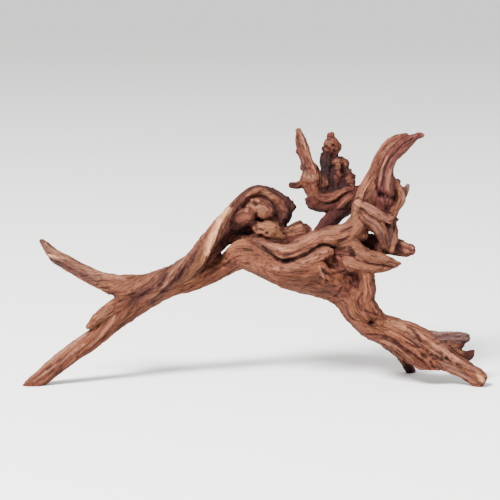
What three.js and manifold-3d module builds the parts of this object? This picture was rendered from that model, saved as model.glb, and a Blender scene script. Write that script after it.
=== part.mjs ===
// A piece of driftwood: one weathered root that stands as an arch on three feet.
// Each limb is a lobed section carried along a smooth line. All limbs are fused into one solid,
// hollows are scooped out of it, and its feet are trimmed flat where it stands.
import * as THREE from "three";
import Module from "manifold-3d";

const wasm = await Module();
wasm.setup();

// Driving dimensions, in millimetres.
const LENGTH = 462; // from the left foot's toe to the right foot's tip
const VIEW_DISTANCE = 2200; // from the wood's middle plane to the eye that saw its limbs
const LOOK_DOWN = THREE.MathUtils.degToRad(8); // the tilt of that view

// The side view that the limbs are measured in, in its own pixels.
const VIEW_SPAN = 462; // how long the wood shows
const VIEW_COLUMN = 250; // the view's middle
const VIEW_ROW = 250;
const FLOOR_ROW = 385.5; // where the floor shows below the left and right feet

// The section's lobes, as shares of its half widths, and how they turn along a limb.
const BROAD_LOBES = { count: 3, depth: 0.05, turn: 0.014 };
const FINE_LOBES = { count: 5, depth: 0.05, turn: -0.009 };
const LIMB_PHASE = 2.4; // sets each limb's lobes apart from the last one's, in radians
const SIDE_LENGTH = 8; // aim for one facet's width
const FEWEST_SIDES = 6;
const MOST_SIDES = 12;
const RING_SHARE = 1.45; // ring spacing as a share of the limb's mean half width
const TIP_SHARE = 0.45; // how far a limb's end bulges past its last station

// The stations of each limb: [column, row, back, across, through]. Column and row say where the limb's
// middle shows in the side view. Back is how far it lies behind the middle plane, in millimetres. Across
// and through are its half widths, square to the limb in the view and along the line of sight.
const FORK = {
  leftLeg: [
    [18, 396.5, 1, 6.2, 7],
    [32, 384.5, 1, 7.2, 8],
    [46, 373.8, 2, 8.3, 8.5],
    [70, 355.2, 3, 8.8, 9.5],
    [95, 337.6, 4, 9.3, 10.5],
    [120, 316, 6, 10, 12.5],
    [145, 297.8, 9, 11.2, 14.5],
    [170, 284.5, 12, 12, 15],
    [195, 277, 15, 12, 14],
    [220, 267.3, 17, 11.5, 13],
    [240, 256.5, 18, 10.5, 14],
  ],
  brokenStub: [
    [134, 298, 5, 5, 6],
    [122, 302.5, 0, 8.2, 8],
    [110, 308.5, -3, 6.5, 7],
    [99, 316, -4, 5, 6],
    [91, 323.5, -4, 3.2, 4],
    [87, 327.5, -4, 1.5, 2.5],
  ],
  leftProng: [
    [40.5, 240, -20, 2, 2.5],
    [48, 248.5, -17, 4.9, 5],
    [60, 258.5, -13, 6.3, 6.5],
    [80, 270.5, -7, 7.4, 8.5],
    [100, 280, -1, 8.2, 10],
    [120, 286, 4, 11, 12],
    [143, 286, 5, 11.2, 13.5],
    [165, 280, 2, 11, 13],
    [182, 270, -3, 10.3, 12],
    [196, 258, -7, 9, 10],
    [207, 243.5, -9, 7.6, 9],
    [217, 228.5, -9, 6.2, 8],
    [228, 214, -6, 5.2, 8],
    [240, 201.5, -1, 5.2, 8.5],
    [251, 192, 4, 4.8, 9.5],
    [263, 190.5, 8, 4.8, 10.5],
    [275, 196.5, 11, 6, 11],
    [284.5, 204.5, 13, 6.5, 10],
    [291, 211, 14, 4, 7],
  ],
  rearRidge: [
    [134, 302, 11, 4, 5],
    [155, 291, 19, 8, 8],
    [180, 281, 25, 9, 9],
    [212, 268, 28, 9, 10],
    [242, 256, 27, 10.5, 10],
    [262, 256, 20, 8, 9],
  ],
};

const HOOD = {
  hoodWall: [
    [191, 277, 6, 3, 5],
    [201, 267, 9, 6, 7],
    [212, 252, 12, 7.5, 7],
    [223, 239, 16, 9, 6],
    [236, 224, 19, 13, 6],
    [250, 212, 21, 15, 7],
    [264, 206, 22, 13, 8],
    [276, 211, 20, 11, 9],
    [281, 221, 17, 8, 8],
  ],
  hoodFloor: [
    [226, 243, 14, 4, 5],
    [236, 236, 16, 7, 6],
    [248, 232, 15, 9, 7],
    [262, 228, 12, 9, 8],
    [275, 223, 10, 9, 8],
  ],
  hoodFlank: [
    [270, 194, 8, 7, 9],
    [279, 204, 6, 9, 8],
    [284.5, 213, 7, 8, 8],
    [281, 223, 8, 6.5, 6],
    [283, 229, 9, 2, 3],
  ],
  hoodToothUpper: [
    [284, 202, 12, 3, 4],
    [288, 198, 12, 2.2, 2.4],
  ],
  hoodToothLower: [
    [289, 207, 12, 4, 5],
    [294.5, 206, 12, 3, 3],
  ],
  knobLeft: [
    [234, 226, 6, 5, 6],
    [240, 219, 0, 8, 9],
    [248, 217, -3, 8, 9],
    [253, 221, -2, 5, 6],
  ],
  knobCrest: [
    [243, 214, 3, 5, 6],
    [249, 205, 2, 3.5, 5],
    [252, 199, 6, 1.8, 3],
  ],
  knobRight: [
    [254, 205, 2, 4, 6],
    [260, 208, -3, 8, 8],
    [266, 212, -2, 7.5, 8],
    [270, 217, 3, 4, 5],
  ],
  knobLow: [
    [256, 226, 2, 5, 6],
    [264, 229, -4, 7.5, 8],
    [272, 230, -4, 8, 8],
    [279, 235, 0, 6, 7],
    [284, 241, 4, 4, 6],
  ],
  leafStub: [
    [272, 241, 10, 7, 8],
    [284, 237, 9, 7.5, 8],
    [295, 232.5, 8, 8.5, 7.5],
    [302, 229, 8, 7.8, 6],
    [307, 228, 8, 4, 3.5],
  ],
};

const BODY = {
  stem: [
    [224, 263, 14, 5, 8],
    [236, 256.5, 8, 11, 14],
    [247, 254.5, 4, 15.3, 18],
    [258, 257, 3, 17, 21],
    [272, 264, 4, 17.5, 24],
    [292, 273, 7, 17.5, 28],
    [314, 278, 11, 17.5, 30],
    [336, 283, 13, 19, 29],
    [351, 294, 12, 18.5, 25],
    [361, 308.5, 9, 17, 20],
    [374, 325, 7, 15, 17],
    [394, 334, 5, 15, 17],
    [412, 343, 3, 13.5, 15.5],
    [428, 351.5, 1, 12, 14],
    [443, 359, -1, 10.5, 12],
    [458, 366.5, -3, 9.2, 10.5],
    [471, 374, -4, 8.4, 9.5],
    [482, 380.5, -5, 8.2, 8.5],
  ],
  spine: [
    [250, 247, 16, 10, 13],
    [266, 250, 20, 11, 15],
    [287, 251, 23, 12, 16],
    [312, 249, 25, 14, 17],
    [336, 248, 23, 14, 17],
    [357, 249, 16, 12, 14],
  ],
  rope: [
    [244, 241.5, 1, 3, 5],
    [256, 242.5, -7, 5, 7.5],
    [267, 247, -12, 6, 8],
    [276, 251, -14, 7, 8.5],
    [287, 252, -16, 7.6, 9],
    [303, 247, -17, 9.3, 10.5],
    [319, 238.5, -16, 9.2, 11.5],
    [335, 236, -13, 9.6, 12.5],
    [350, 231.5, -9, 11, 13.5],
    [360, 221, -5, 9.5, 13],
    [365, 206, -2, 8.5, 12],
  ],
  fold: [
    [333, 250.5, -19, 4, 6],
    [324, 252.5, -21, 6, 8],
    [311, 259.5, -21, 7, 9],
    [297, 266.5, -18, 8, 10],
    [280, 271, -12, 9, 11],
    [264, 267, -7, 7.5, 9],
    [250, 260, 0, 5, 7],
  ],
  pillar: [
    [358, 262, -3, 9, 12],
    [363, 277, -5, 10.5, 12],
    [364.5, 291, -6, 10.8, 13],
    [365, 303.5, -5, 10.5, 14],
    [373, 315.5, -2, 10.5, 13],
    [381, 325, 3, 7.5, 10],
  ],
  beakUpper: [
    [338, 240, -8, 7, 9],
    [352, 246, -12, 7.5, 9.5],
    [366, 255, -13, 5.5, 8.5],
    [380, 258, -11, 4.6, 7],
    [390, 261.5, -9, 3.4, 5.5],
    [401, 263.8, -6, 1.4, 2],
  ],
  beakLower: [
    [344, 260, -8, 6, 8],
    [354, 264.5, -13, 7, 9],
    [366, 267, -12, 5.6, 8],
    [382, 267.6, -9, 3.4, 6],
    [397, 265, -6, 1.5, 2.6],
  ],
  rearRoot: [
    [300, 262, 34, 13, 12],
    [296, 268, 50, 9, 9],
    [290, 272, 64, 7, 7],
    [286, 275, 74, 4.5, 4.5],
  ],
};

const RIGHT_LEG = {
  legLow: [
    [351, 314, 5, 4, 6],
    [364, 327, -2, 7, 9],
    [378, 335.5, -5, 6.5, 9],
    [394, 344.5, -7, 6.6, 9],
    [408, 355, -7, 6.5, 8.5],
    [421, 363.8, -7, 5, 7.5],
    [432, 368, -6, 2.8, 5],
    [438, 369.3, -5, 1.5, 3],
  ],
  legMiddle: [
    [380, 329, -2, 4, 6],
    [392, 335.5, -8, 5, 7.5],
    [406, 343, -11, 5, 7],
    [419, 352, -11, 4.8, 7],
    [430, 359.5, -8, 5, 7.5],
    [440, 365, -3, 4, 7],
  ],
  legTop: [
    [382, 321, 4, 4, 6],
    [396, 326, -2, 6, 9],
    [410, 329, -5, 6.5, 9],
    [424, 337, -6, 7, 9],
    [438, 347, -7, 7, 8.5],
    [452, 357.5, -7, 6, 7.5],
    [466, 365, -7, 4.5, 6],
    [481, 371.5, -6, 2.6, 4],
  ],
  greyProng: [
    [418, 336, 6, 7, 9],
    [433, 339, 11, 8.2, 9],
    [447, 339, 14, 8.2, 8.5],
    [459, 338.5, 16, 7.6, 7.5],
    [467, 338, 17, 4.8, 5.5],
    [470, 338.5, 17, 2.5, 3],
  ],
  prongUnder: [
    [440, 346, 8, 5, 7],
    [453, 345, 12, 4, 6],
    [462, 345.5, 14, 2.5, 4],
  ],
  toeNub: [
    [446, 351, 8, 6, 7],
    [457, 354, 11, 5.5, 6.5],
    [465, 356, 13, 5.2, 5.5],
    [470, 354.5, 14, 4.4, 4],
    [473.5, 350.5, 14, 1.8, 2.5],
  ],
  rearFoot: [
    [388, 338, 16, 9, 9],
    [397, 348, 32, 7, 7],
    [404, 359, 49, 5.4, 5.4],
    [409, 370, 65, 4.6, 4.6],
    [411.5, 378, 75, 4.4, 4.4],
  ],
  rearKnot: [
    [380, 326, 20, 9, 8],
    [392, 330, 26, 7, 7],
    [404, 338, 26, 5, 6],
  ],
};

const HORN = {
  hornPost: [
    [358, 238, -5, 8, 11],
    [356.5, 220, -6, 6, 9],
    [359.5, 204, -4, 6.5, 10],
    [367, 189, -2, 8, 11],
    [376, 174, 0, 7.7, 9.5],
    [382, 158, 2, 7, 8],
    [390, 145, 3, 6, 6.5],
    [399.5, 138, 4, 3.9, 5],
    [407, 134.2, 5, 1.2, 2],
  ],
  hornMiddle: [
    [371, 223.5, 4, 8, 9],
    [376, 211, 2, 11, 12],
    [376, 198, 2, 11, 12],
    [380, 184, 0, 9, 10.5],
    [384, 170, -1, 7, 9],
    [390, 158, -1, 6, 8],
    [399, 148.5, 0, 5.5, 7],
    [408, 141, 1, 4.2, 6],
    [416, 136.5, 2, 3.2, 4.5],
    [423, 135, 3, 1.6, 2.2],
  ],
  hornRight: [
    [388, 196, -5, 6, 8],
    [388, 182, -5, 5, 7.5],
    [389, 170, -5, 4.8, 7],
    [392, 160, -4, 4.2, 6.5],
    [400.5, 151.5, -3, 3.8, 5.5],
    [409, 145, -1, 2.5, 4],
    [415, 140, 0, 1.5, 3],
  ],
  hornRear: [
    [382, 224, 12, 7, 8],
    [386, 208, 12, 11, 9],
    [386, 193, 10, 10, 8],
    [386, 172, 6, 6, 6],
  ],
  strapUpper: [
    [357, 201.5, -10, 3.6, 5],
    [366, 207, -15, 4.4, 5.5],
    [378, 213.5, -17, 4.4, 5.5],
    [391, 220.5, -15, 3.8, 5],
  ],
  strapLower: [
    [357, 211, -9, 3.5, 5],
    [366, 217.5, -13, 5, 5.5],
    [375, 223, -14, 6, 6],
    [382, 233, -13, 5.5, 6],
    [385, 246, -11, 4, 6],
  ],
  ear: [
    [391, 176, 2, 2, 5],
    [397, 187, 4, 4.5, 7],
    [400.5, 198, 5, 5, 8],
    [395.5, 208, 3, 4.5, 8],
    [390, 218, -1, 4.5, 7],
  ],
  earNub: [
    [396, 187, 6, 2, 2.5],
    [397.5, 183, 7, 1.5, 2],
    [398.6, 180.5, 8, 2.6, 2.6],
  ],
  earSpike: [
    [402, 199, 6, 2.8, 4],
    [404.5, 192, 7, 2.8, 3.5],
    [407.8, 185, 8, 1.2, 1.6],
  ],
  column: [
    [391, 217, -3, 4.5, 7],
    [391.5, 229, -4, 5.4, 7],
    [391, 240, -4, 5.8, 8],
    [387, 249, -4, 6, 8],
  ],
  columnBack: [
    [388, 214, 6, 5, 5],
    [386, 228, 5, 5, 5],
    [384, 242, 5, 6, 6],
  ],
  twigUpper: [
    [389, 223.5, -4, 2, 2.5],
    [394, 220.5, -5, 1.3, 1.6],
    [399, 219, -6, 0.8, 0.8],
  ],
  stubRight: [
    [380, 247, 4, 7, 8],
    [394, 247, 4, 8.6, 9],
    [404, 249.8, 3, 7.2, 8],
    [413, 250.2, 2, 5, 5.8],
  ],
  underArch: [
    [358, 253, 10, 9, 10],
    [369, 243.5, 14, 9.5, 10],
    [382, 248, 12, 7.5, 9],
  ],
};

const CLUSTER = {
  clusterStem: [
    [314, 241, 18, 8, 11],
    [326, 228.5, 25, 8.2, 10],
    [336, 218, 30, 9, 10],
    [347, 207, 34, 9.5, 10],
    [360, 195, 32, 9, 10],
    [372, 186, 20, 7, 9],
  ],
  clusterCup: [
    [306, 200.5, 36, 2.5, 4],
    [313, 204, 34, 5.5, 8],
    [324, 206, 33, 6, 9],
    [335, 203.5, 33, 6.5, 9],
    [344, 197, 35, 6, 9],
    [357, 191, 37, 4.5, 8],
    [367, 188, 32, 4, 7],
  ],
  clusterFold: [
    [318, 194, 36, 4, 7],
    [326, 196, 35, 5, 8],
    [336, 192, 36, 5, 9],
    [348, 190, 38, 4, 9],
    [360, 191, 38, 3.5, 7],
  ],
  prong: [
    [298.5, 129, 40, 2.8, 3],
    [301.5, 139, 41, 4.4, 4],
    [304.3, 151, 42, 5.2, 5],
    [306.8, 162, 43, 5.6, 6],
    [309, 172, 44, 7.6, 8],
    [310, 181, 44, 10, 10],
    [313, 191, 42, 7.5, 9],
    [317, 201, 39, 7, 8],
  ],
  prongSplinter: [
    [296.4, 135.5, 43, 0.8, 1],
    [298.5, 145, 44, 1.5, 2],
    [301, 156, 45, 2, 3],
  ],
  prongNub: [
    [302, 153, 43, 3, 3],
    [297.5, 151, 43, 2, 2.4],
  ],
  sideTwig: [
    [304, 183, 42, 4, 5],
    [297, 185.3, 40, 2.8, 2.8],
    [289, 184.3, 38, 1.5, 1.5],
  ],
  tower: [
    [330, 132.5, 46, 2.6, 2.8],
    [330.3, 137, 46, 4, 4],
    [330, 142, 46, 6.8, 6],
    [330, 148.5, 46, 10, 9],
    [330, 155, 46, 8.2, 8],
    [331, 163, 46, 10.8, 10],
    [333, 174, 45, 13, 12],
    [336, 186, 43, 16, 14],
    [338, 197, 40, 15, 13],
  ],
  towerBumpUpper: [
    [336, 168, 42, 6, 6],
    [343, 162.5, 41, 4.6, 4.5],
  ],
  towerBumpMiddle: [
    [338, 174, 42, 7, 7],
    [346.5, 168.5, 41, 4.8, 4.5],
  ],
  towerBumpLower: [
    [340, 184, 42, 9, 9],
    [349, 181, 40, 6.5, 7],
    [353.3, 174.5, 40, 2.6, 2.6],
  ],
};

// Scooped hollows: [column, row, back, half width, half height, half depth].
const HOLLOWS = {
  besideFold: [333, 264, -10, 9, 8, 18],
  besidePillar: [354, 282, -16, 5, 8, 14],
  underHorn: [386, 197, -12, 7, 6, 9],
  knotHole: [372, 323, -13, 3.4, 2.6, 7],
};
const HOLLOW_SIDES = 10;
const HOLLOW_RINGS = 8;

// The side view's own axes in the wood's frame: the line of sight leans down, and up leans back with it.
const PIXEL = LENGTH / VIEW_SPAN;
const SIGHT = new THREE.Vector3(0, Math.cos(LOOK_DOWN), -Math.sin(LOOK_DOWN));
const VIEW_UP = new THREE.Vector3(0, Math.sin(LOOK_DOWN), Math.cos(LOOK_DOWN));
const VIEW_RIGHT = new THREE.Vector3(1, 0, 0);
const EYE_HEIGHT = (FLOOR_ROW - VIEW_ROW) * PIXEL * Math.cos(LOOK_DOWN); // of the view's middle

// The point that shows at a column and row of the side view and lies a given way behind its middle plane.
function seen(column, row, back) {
  const spread = PIXEL * (1 + back / VIEW_DISTANCE);
  return new THREE.Vector3(0, 0, EYE_HEIGHT)
    .addScaledVector(VIEW_RIGHT, (column - VIEW_COLUMN) * spread)
    .addScaledVector(VIEW_UP, (VIEW_ROW - row) * spread)
    .addScaledVector(SIGHT, back);
}

// A closed solid from vertices and triangles.
function solid(positions, triangles) {
  const vertProperties = new Float32Array(positions);
  const triVerts = new Uint32Array(triangles);
  return new wasm.Manifold(new wasm.Mesh({ numProp: 3, vertProperties, triVerts }));
}

// How far the section stands out at an angle, as a share of its half widths, some way along a limb.
function lobed(angle, along, phase) {
  const wave = ({ count, depth, turn }) => depth * Math.cos(count * (angle + turn * along) + phase);
  return 1 + wave(BROAD_LOBES) + wave(FINE_LOBES);
}

// A smooth line through points.
function smooth(points) {
  return new THREE.CatmullRomCurve3(points, false, "catmullrom", 0.5);
}

// A limb: rings of lobed sections square to the line through its stations, closed by a pole at each end.
function limb(stations, order) {
  const line = smooth(stations.map(([column, row, back]) => seen(column, row, back)));
  const girth = smooth(stations.map(([, , , across, through]) => new THREE.Vector3(across, through, 0)));
  const widest = Math.max(...stations.map(([, , , across, through]) => Math.max(across, through)));
  const meanHalf = stations.reduce((sum, s) => sum + (s[3] + s[4]) / 2, 0) / stations.length;
  const fitting = Math.round((2 * Math.PI * widest) / SIDE_LENGTH);
  const sides = THREE.MathUtils.clamp(fitting, FEWEST_SIDES, MOST_SIDES);
  const step = (2 * Math.PI) / sides;
  const fill = Math.sqrt(step / Math.sin(step)); // so that the facets hold the round section's area
  const rings = Math.max(stations.length, Math.ceil(line.getLength() / (RING_SHARE * meanHalf)) + 1);
  const phase = order * LIMB_PHASE;

  const positions = [];
  const pole = (centre, tangent, reach) => centre.clone().addScaledVector(tangent, reach).toArray();
  let along = 0;
  let last = line.getPoint(0);
  for (let ring = 0; ring < rings; ring++) {
    const t = ring / (rings - 1);
    const centre = line.getPoint(t);
    const tangent = line.getTangent(t);
    const across = SIGHT.clone().cross(tangent).normalize();
    const through = tangent.clone().cross(across);
    const half = girth.getPoint(t);
    along += centre.distanceTo(last);
    last = centre;
    if (ring === 0) positions.push(...pole(centre, tangent, -TIP_SHARE * Math.min(half.x, half.y)));
    for (let side = 0; side < sides; side++) {
      const angle = side * step;
      const out = fill * lobed(angle, along, phase);
      positions.push(...centre.clone()
        .addScaledVector(across, half.x * out * Math.cos(angle))
        .addScaledVector(through, half.y * out * Math.sin(angle)).toArray());
    }
    if (ring === rings - 1) positions.push(...pole(centre, tangent, TIP_SHARE * Math.min(half.x, half.y)));
  }

  const triangles = [];
  const vertex = (ring, side) => 1 + ring * sides + (side % sides);
  const endPole = 1 + rings * sides;
  for (let side = 0; side < sides; side++) {
    triangles.push(0, vertex(0, side + 1), vertex(0, side));
    triangles.push(endPole, vertex(rings - 1, side), vertex(rings - 1, side + 1));
    for (let ring = 0; ring + 1 < rings; ring++) {
      const [a, b] = [vertex(ring, side), vertex(ring, side + 1)];
      const [c, d] = [vertex(ring + 1, side + 1), vertex(ring + 1, side)];
      triangles.push(a, b, c, a, c, d);
    }
  }
  return solid(positions, triangles);
}

// A solid from a three.js geometry, whose shared corners are merged by place.
function solidOf(geometry) {
  const position = geometry.getAttribute("position");
  const places = new Map();
  const positions = [];
  const shared = Array.from({ length: position.count }, (_, i) => {
    const point = [position.getX(i), position.getY(i), position.getZ(i)];
    const key = point.map((v) => v.toFixed(4)).join();
    if (!places.has(key)) places.set(key, positions.push(...point) / 3 - 1);
    return places.get(key);
  });
  const corners = Array.from(geometry.index.array, (i) => shared[i]);
  const triangles = [];
  for (let i = 0; i < corners.length; i += 3) {
    const [a, b, c] = corners.slice(i, i + 3);
    if (a !== b && b !== c && c !== a) triangles.push(a, b, c);
  }
  return solid(positions, triangles);
}

// An ellipsoid to scoop out, its depth along the line of sight.
function hollow([column, row, back, halfWidth, halfHeight, halfDepth]) {
  const geometry = new THREE.SphereGeometry(1, HOLLOW_SIDES, HOLLOW_RINGS);
  geometry.scale(halfWidth, halfDepth, halfHeight).rotateX(-LOOK_DOWN);
  const { x, y, z } = seen(column, row, back);
  return solidOf(geometry.translate(x, y, z));
}

// All that lies below the floor, to trim the feet flat.
function belowFloor() {
  const geometry = new THREE.BoxGeometry(2 * LENGTH, 2 * LENGTH, LENGTH);
  return solidOf(geometry.translate(0, 0, -LENGTH / 2));
}

// The wood: limbs fused, hollows scooped, feet trimmed.
function wood() {
  const tables = { ...FORK, ...HOOD, ...BODY, ...RIGHT_LEG, ...HORN, ...CLUSTER };
  const fused = Object.values(tables).map(limb).reduce((sum, next) => sum.add(next));
  const scoops = Object.values(HOLLOWS).map(hollow);
  return scoops.reduce((rest, next) => rest.subtract(next), fused).subtract(belowFloor());
}

// The solid's vertices and triangles as a three.js geometry.
function geometryOf(made) {
  const { vertProperties, triVerts } = made.getMesh();
  const geometry = new THREE.BufferGeometry()
    .setAttribute("position", new THREE.BufferAttribute(vertProperties, 3))
    .setIndex(new THREE.BufferAttribute(triVerts, 1));
  geometry.computeVertexNormals();
  geometry.computeBoundingBox();
  return geometry;
}

const material = new THREE.MeshStandardMaterial({ color: 0xa06a52, roughness: 0.85, metalness: 0 });
const driftwood = new THREE.Mesh(geometryOf(wood()), material);
driftwood.name = "driftwood";

// The origin is on the floor, under the middle of the wood's box.
const middle = driftwood.geometry.boundingBox.getCenter(new THREE.Vector3());
driftwood.position.set(-middle.x, -middle.y, 0);

const part = new THREE.Group();
part.add(driftwood);
export default part;
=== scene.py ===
import math

import bpy
import numpy as np
from mathutils import Matrix


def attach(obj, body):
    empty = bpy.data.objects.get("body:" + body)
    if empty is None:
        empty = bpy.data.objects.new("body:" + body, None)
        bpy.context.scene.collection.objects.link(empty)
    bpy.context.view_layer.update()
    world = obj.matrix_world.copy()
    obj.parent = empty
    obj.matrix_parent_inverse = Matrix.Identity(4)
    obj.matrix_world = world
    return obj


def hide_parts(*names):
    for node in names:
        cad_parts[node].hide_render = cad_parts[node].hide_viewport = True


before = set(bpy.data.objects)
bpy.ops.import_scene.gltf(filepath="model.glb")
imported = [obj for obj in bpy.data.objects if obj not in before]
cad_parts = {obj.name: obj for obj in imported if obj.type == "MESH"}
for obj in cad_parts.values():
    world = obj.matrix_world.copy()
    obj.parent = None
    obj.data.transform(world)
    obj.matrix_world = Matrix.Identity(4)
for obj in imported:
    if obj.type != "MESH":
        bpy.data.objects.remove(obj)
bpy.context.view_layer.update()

# Every place on the wood is given as it shows in a side view 500 pixels square:
# columns run right, rows run down, and depth runs away from the eye in millimetres.
sideView = {
    "size": 500,
    "middle": 250.0,     # column and row of the view's middle
    "floorRow": 385.5,   # where the floor shows under the two front feet
    "pixel": 0.001,      # metres, at the wood's middle plane
    "distance": 2.2,     # metres from there to the eye
    "lookDown": math.radians(8.0),
}
mm = 0.001
sight = np.array([0.0, math.cos(sideView["lookDown"]), -math.sin(sideView["lookDown"])])
viewUp = np.array([0.0, math.sin(sideView["lookDown"]), math.cos(sideView["lookDown"])])
viewRight = np.array([1.0, 0.0, 0.0])
floorDrop = (sideView["floorRow"] - sideView["middle"]) * sideView["pixel"]
eyeHeight = floorDrop * math.cos(sideView["lookDown"])
viewMiddle = np.array([0.0, 0.0, eyeHeight])
packedShift = np.array([-3.238, -20.277, 0.0]) * mm  # from this view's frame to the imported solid's

# Limbs, each by stations of (column, row, depth, half width across the view, half width along the sight),
# the last three in millimetres.
forkLimbs = {
    "leftLeg": [(18, 396.5, 1, 6.2, 7), (32, 384.5, 1, 7.2, 8), (46, 373.8, 2, 8.3, 8.5),
        (70, 355.2, 3, 8.8, 9.5), (95, 337.6, 4, 9.3, 10.5), (120, 316, 6, 10, 12.5),
        (145, 297.8, 9, 11.2, 14.5), (170, 284.5, 12, 12, 15), (195, 278, 15, 12, 14),
        (220, 268.2, 17, 11.2, 13), (240, 257.6, 18, 10.1, 14)],
    "brokenStub": [(134, 298, 5, 5, 6), (122, 302.5, 0, 8.2, 8), (110, 308.5, -3, 6.5, 7),
        (99, 316.6, -4, 5.4, 6), (91.5, 323.6, -4, 3.9, 4.4), (87.5, 327.2, -4, 2.2, 3)],
    "leftProng": [(40.8, 240, -20, 2, 2.5), (46.5, 246, -17.5, 4.1, 4.4), (52, 252.5, -15.5, 5.6, 5.6),
        (60, 258.5, -13, 6.4, 6.5), (80, 270.5, -7, 7.4, 8.5), (100, 280, -1, 8.2, 10),
        (120, 286, 4, 11, 12), (143, 286, 5, 11.2, 13.5), (165, 280, 2, 11, 13),
        (182, 270, -3, 10.3, 12), (196, 258, -7, 9, 10), (207, 243.5, -9, 8.3, 9),
        (217, 228.5, -9, 7, 8), (228, 214, -6, 5.2, 8), (240, 201.5, -1, 5.2, 8.5),
        (251, 192, 4, 4.8, 9.5), (263, 190.5, 8, 4.8, 10.5), (275, 196.5, 11, 6, 11),
        (284.5, 204.5, 13, 6.5, 10), (291, 211, 14, 4, 7)],
    "prongStep": [(61, 263, -12, 4, 5), (54, 259.5, -14.5, 3.2, 4), (49.5, 257, -15.5, 2, 2.8)],
    "rearRidge": [(134, 302, 11, 4, 5), (155, 291, 19, 8, 8), (180, 281, 25, 9, 9),
        (212, 270, 28, 9, 10), (242, 259, 27, 10, 10), (262, 256, 20, 8, 9)],
}

hoodLimbs = {
    "hoodWall": [(191, 277, 6, 3, 5), (201, 267, 9, 6, 7), (211.5, 252, 12, 7.6, 7),
        (223.2, 238.8, 16, 9.4, 6), (236, 224, 19, 13, 6), (250, 212, 21, 15, 7), (264, 206, 22, 13, 8),
        (276, 211, 20, 11, 9), (281, 221, 17, 8, 8)],
    "hoodFloor": [(229, 240, 14, 3.6, 5), (238, 236, 16, 6.6, 6), (248, 234, 15, 10, 8),
        (262, 232, 13, 11, 9), (275, 228, 11, 11, 9)],
    "hoodFlank": [(270, 194, 8, 7, 9), (279, 204, 6, 9, 8), (284.5, 213, 7, 8, 8),
        (281, 223, 8, 6.5, 6), (283, 229, 9, 2, 3)],
    "hoodToothUpper": [(283, 203, 12, 4, 5), (287.5, 198.3, 12, 2.8, 3)],
    "hoodToothMiddle": [(287, 205, 12, 4, 5), (292.3, 201.6, 12, 2.4, 2.6)],
    "hoodToothLower": [(288, 208, 12, 5, 5), (295, 207, 12, 2.8, 3)],
    "knobLeft": [(234, 226, 6, 5, 6), (240, 219, 0, 8, 9), (248, 217, -3, 8, 9), (253, 221, -2, 5, 6)],
    "knobCrest": [(243, 214, 3, 5, 6), (249, 205, 2, 3.5, 5), (252, 199, 6, 1.8, 3)],
    "knobRight": [(253, 204, 2, 4, 6), (259.5, 207, -3, 8, 8), (266, 211.5, -2, 8, 8),
        (270, 217, 3, 4, 5)],
    "knobEdge": [(253, 201, 0, 2.4, 4), (261, 202.5, -7, 2.8, 4), (269, 207.5, -7, 2.8, 4),
        (272, 215, -3, 2.4, 4)],
    "knobLow": [(256, 226, 2, 5, 6), (264, 229, -4, 7.5, 8), (272, 230, -4, 8, 8), (279, 235, 0, 6, 7),
        (284, 241, 4, 4, 6)],
    "knobBed": [(236, 226, 9, 6, 7), (245, 217, 8, 10, 8), (257, 209, 9, 12, 8), (268, 211, 9, 10, 8),
        (272, 224, 6, 8, 8)],
    "lipUnder": [(246, 201, 6, 3, 6), (255, 197.5, 6, 3.6, 7), (265, 199, 7, 3.6, 7),
        (273, 205, 8, 3, 6)],
    "knobUnder": [(254, 236, 6, 5, 7), (264, 239, 2, 6, 7), (276, 242, 0, 6, 7), (288, 243, 1, 5, 6),
        (299, 239, 4, 4, 6), (307, 236.5, 6, 3.4, 5)],
    "leafStub": [(272, 241, 10, 7, 8), (284, 237, 9, 7.2, 8), (295, 232.3, 8, 7.8, 6.5),
        (304, 229.2, 8, 6.2, 5), (310.5, 231.6, 8, 2.6, 3)],
    "leafTip": [(291, 230, 7, 5, 5), (297.5, 225, 8, 3.6, 3.6), (301, 221.8, 9, 1.5, 2)],
}

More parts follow.
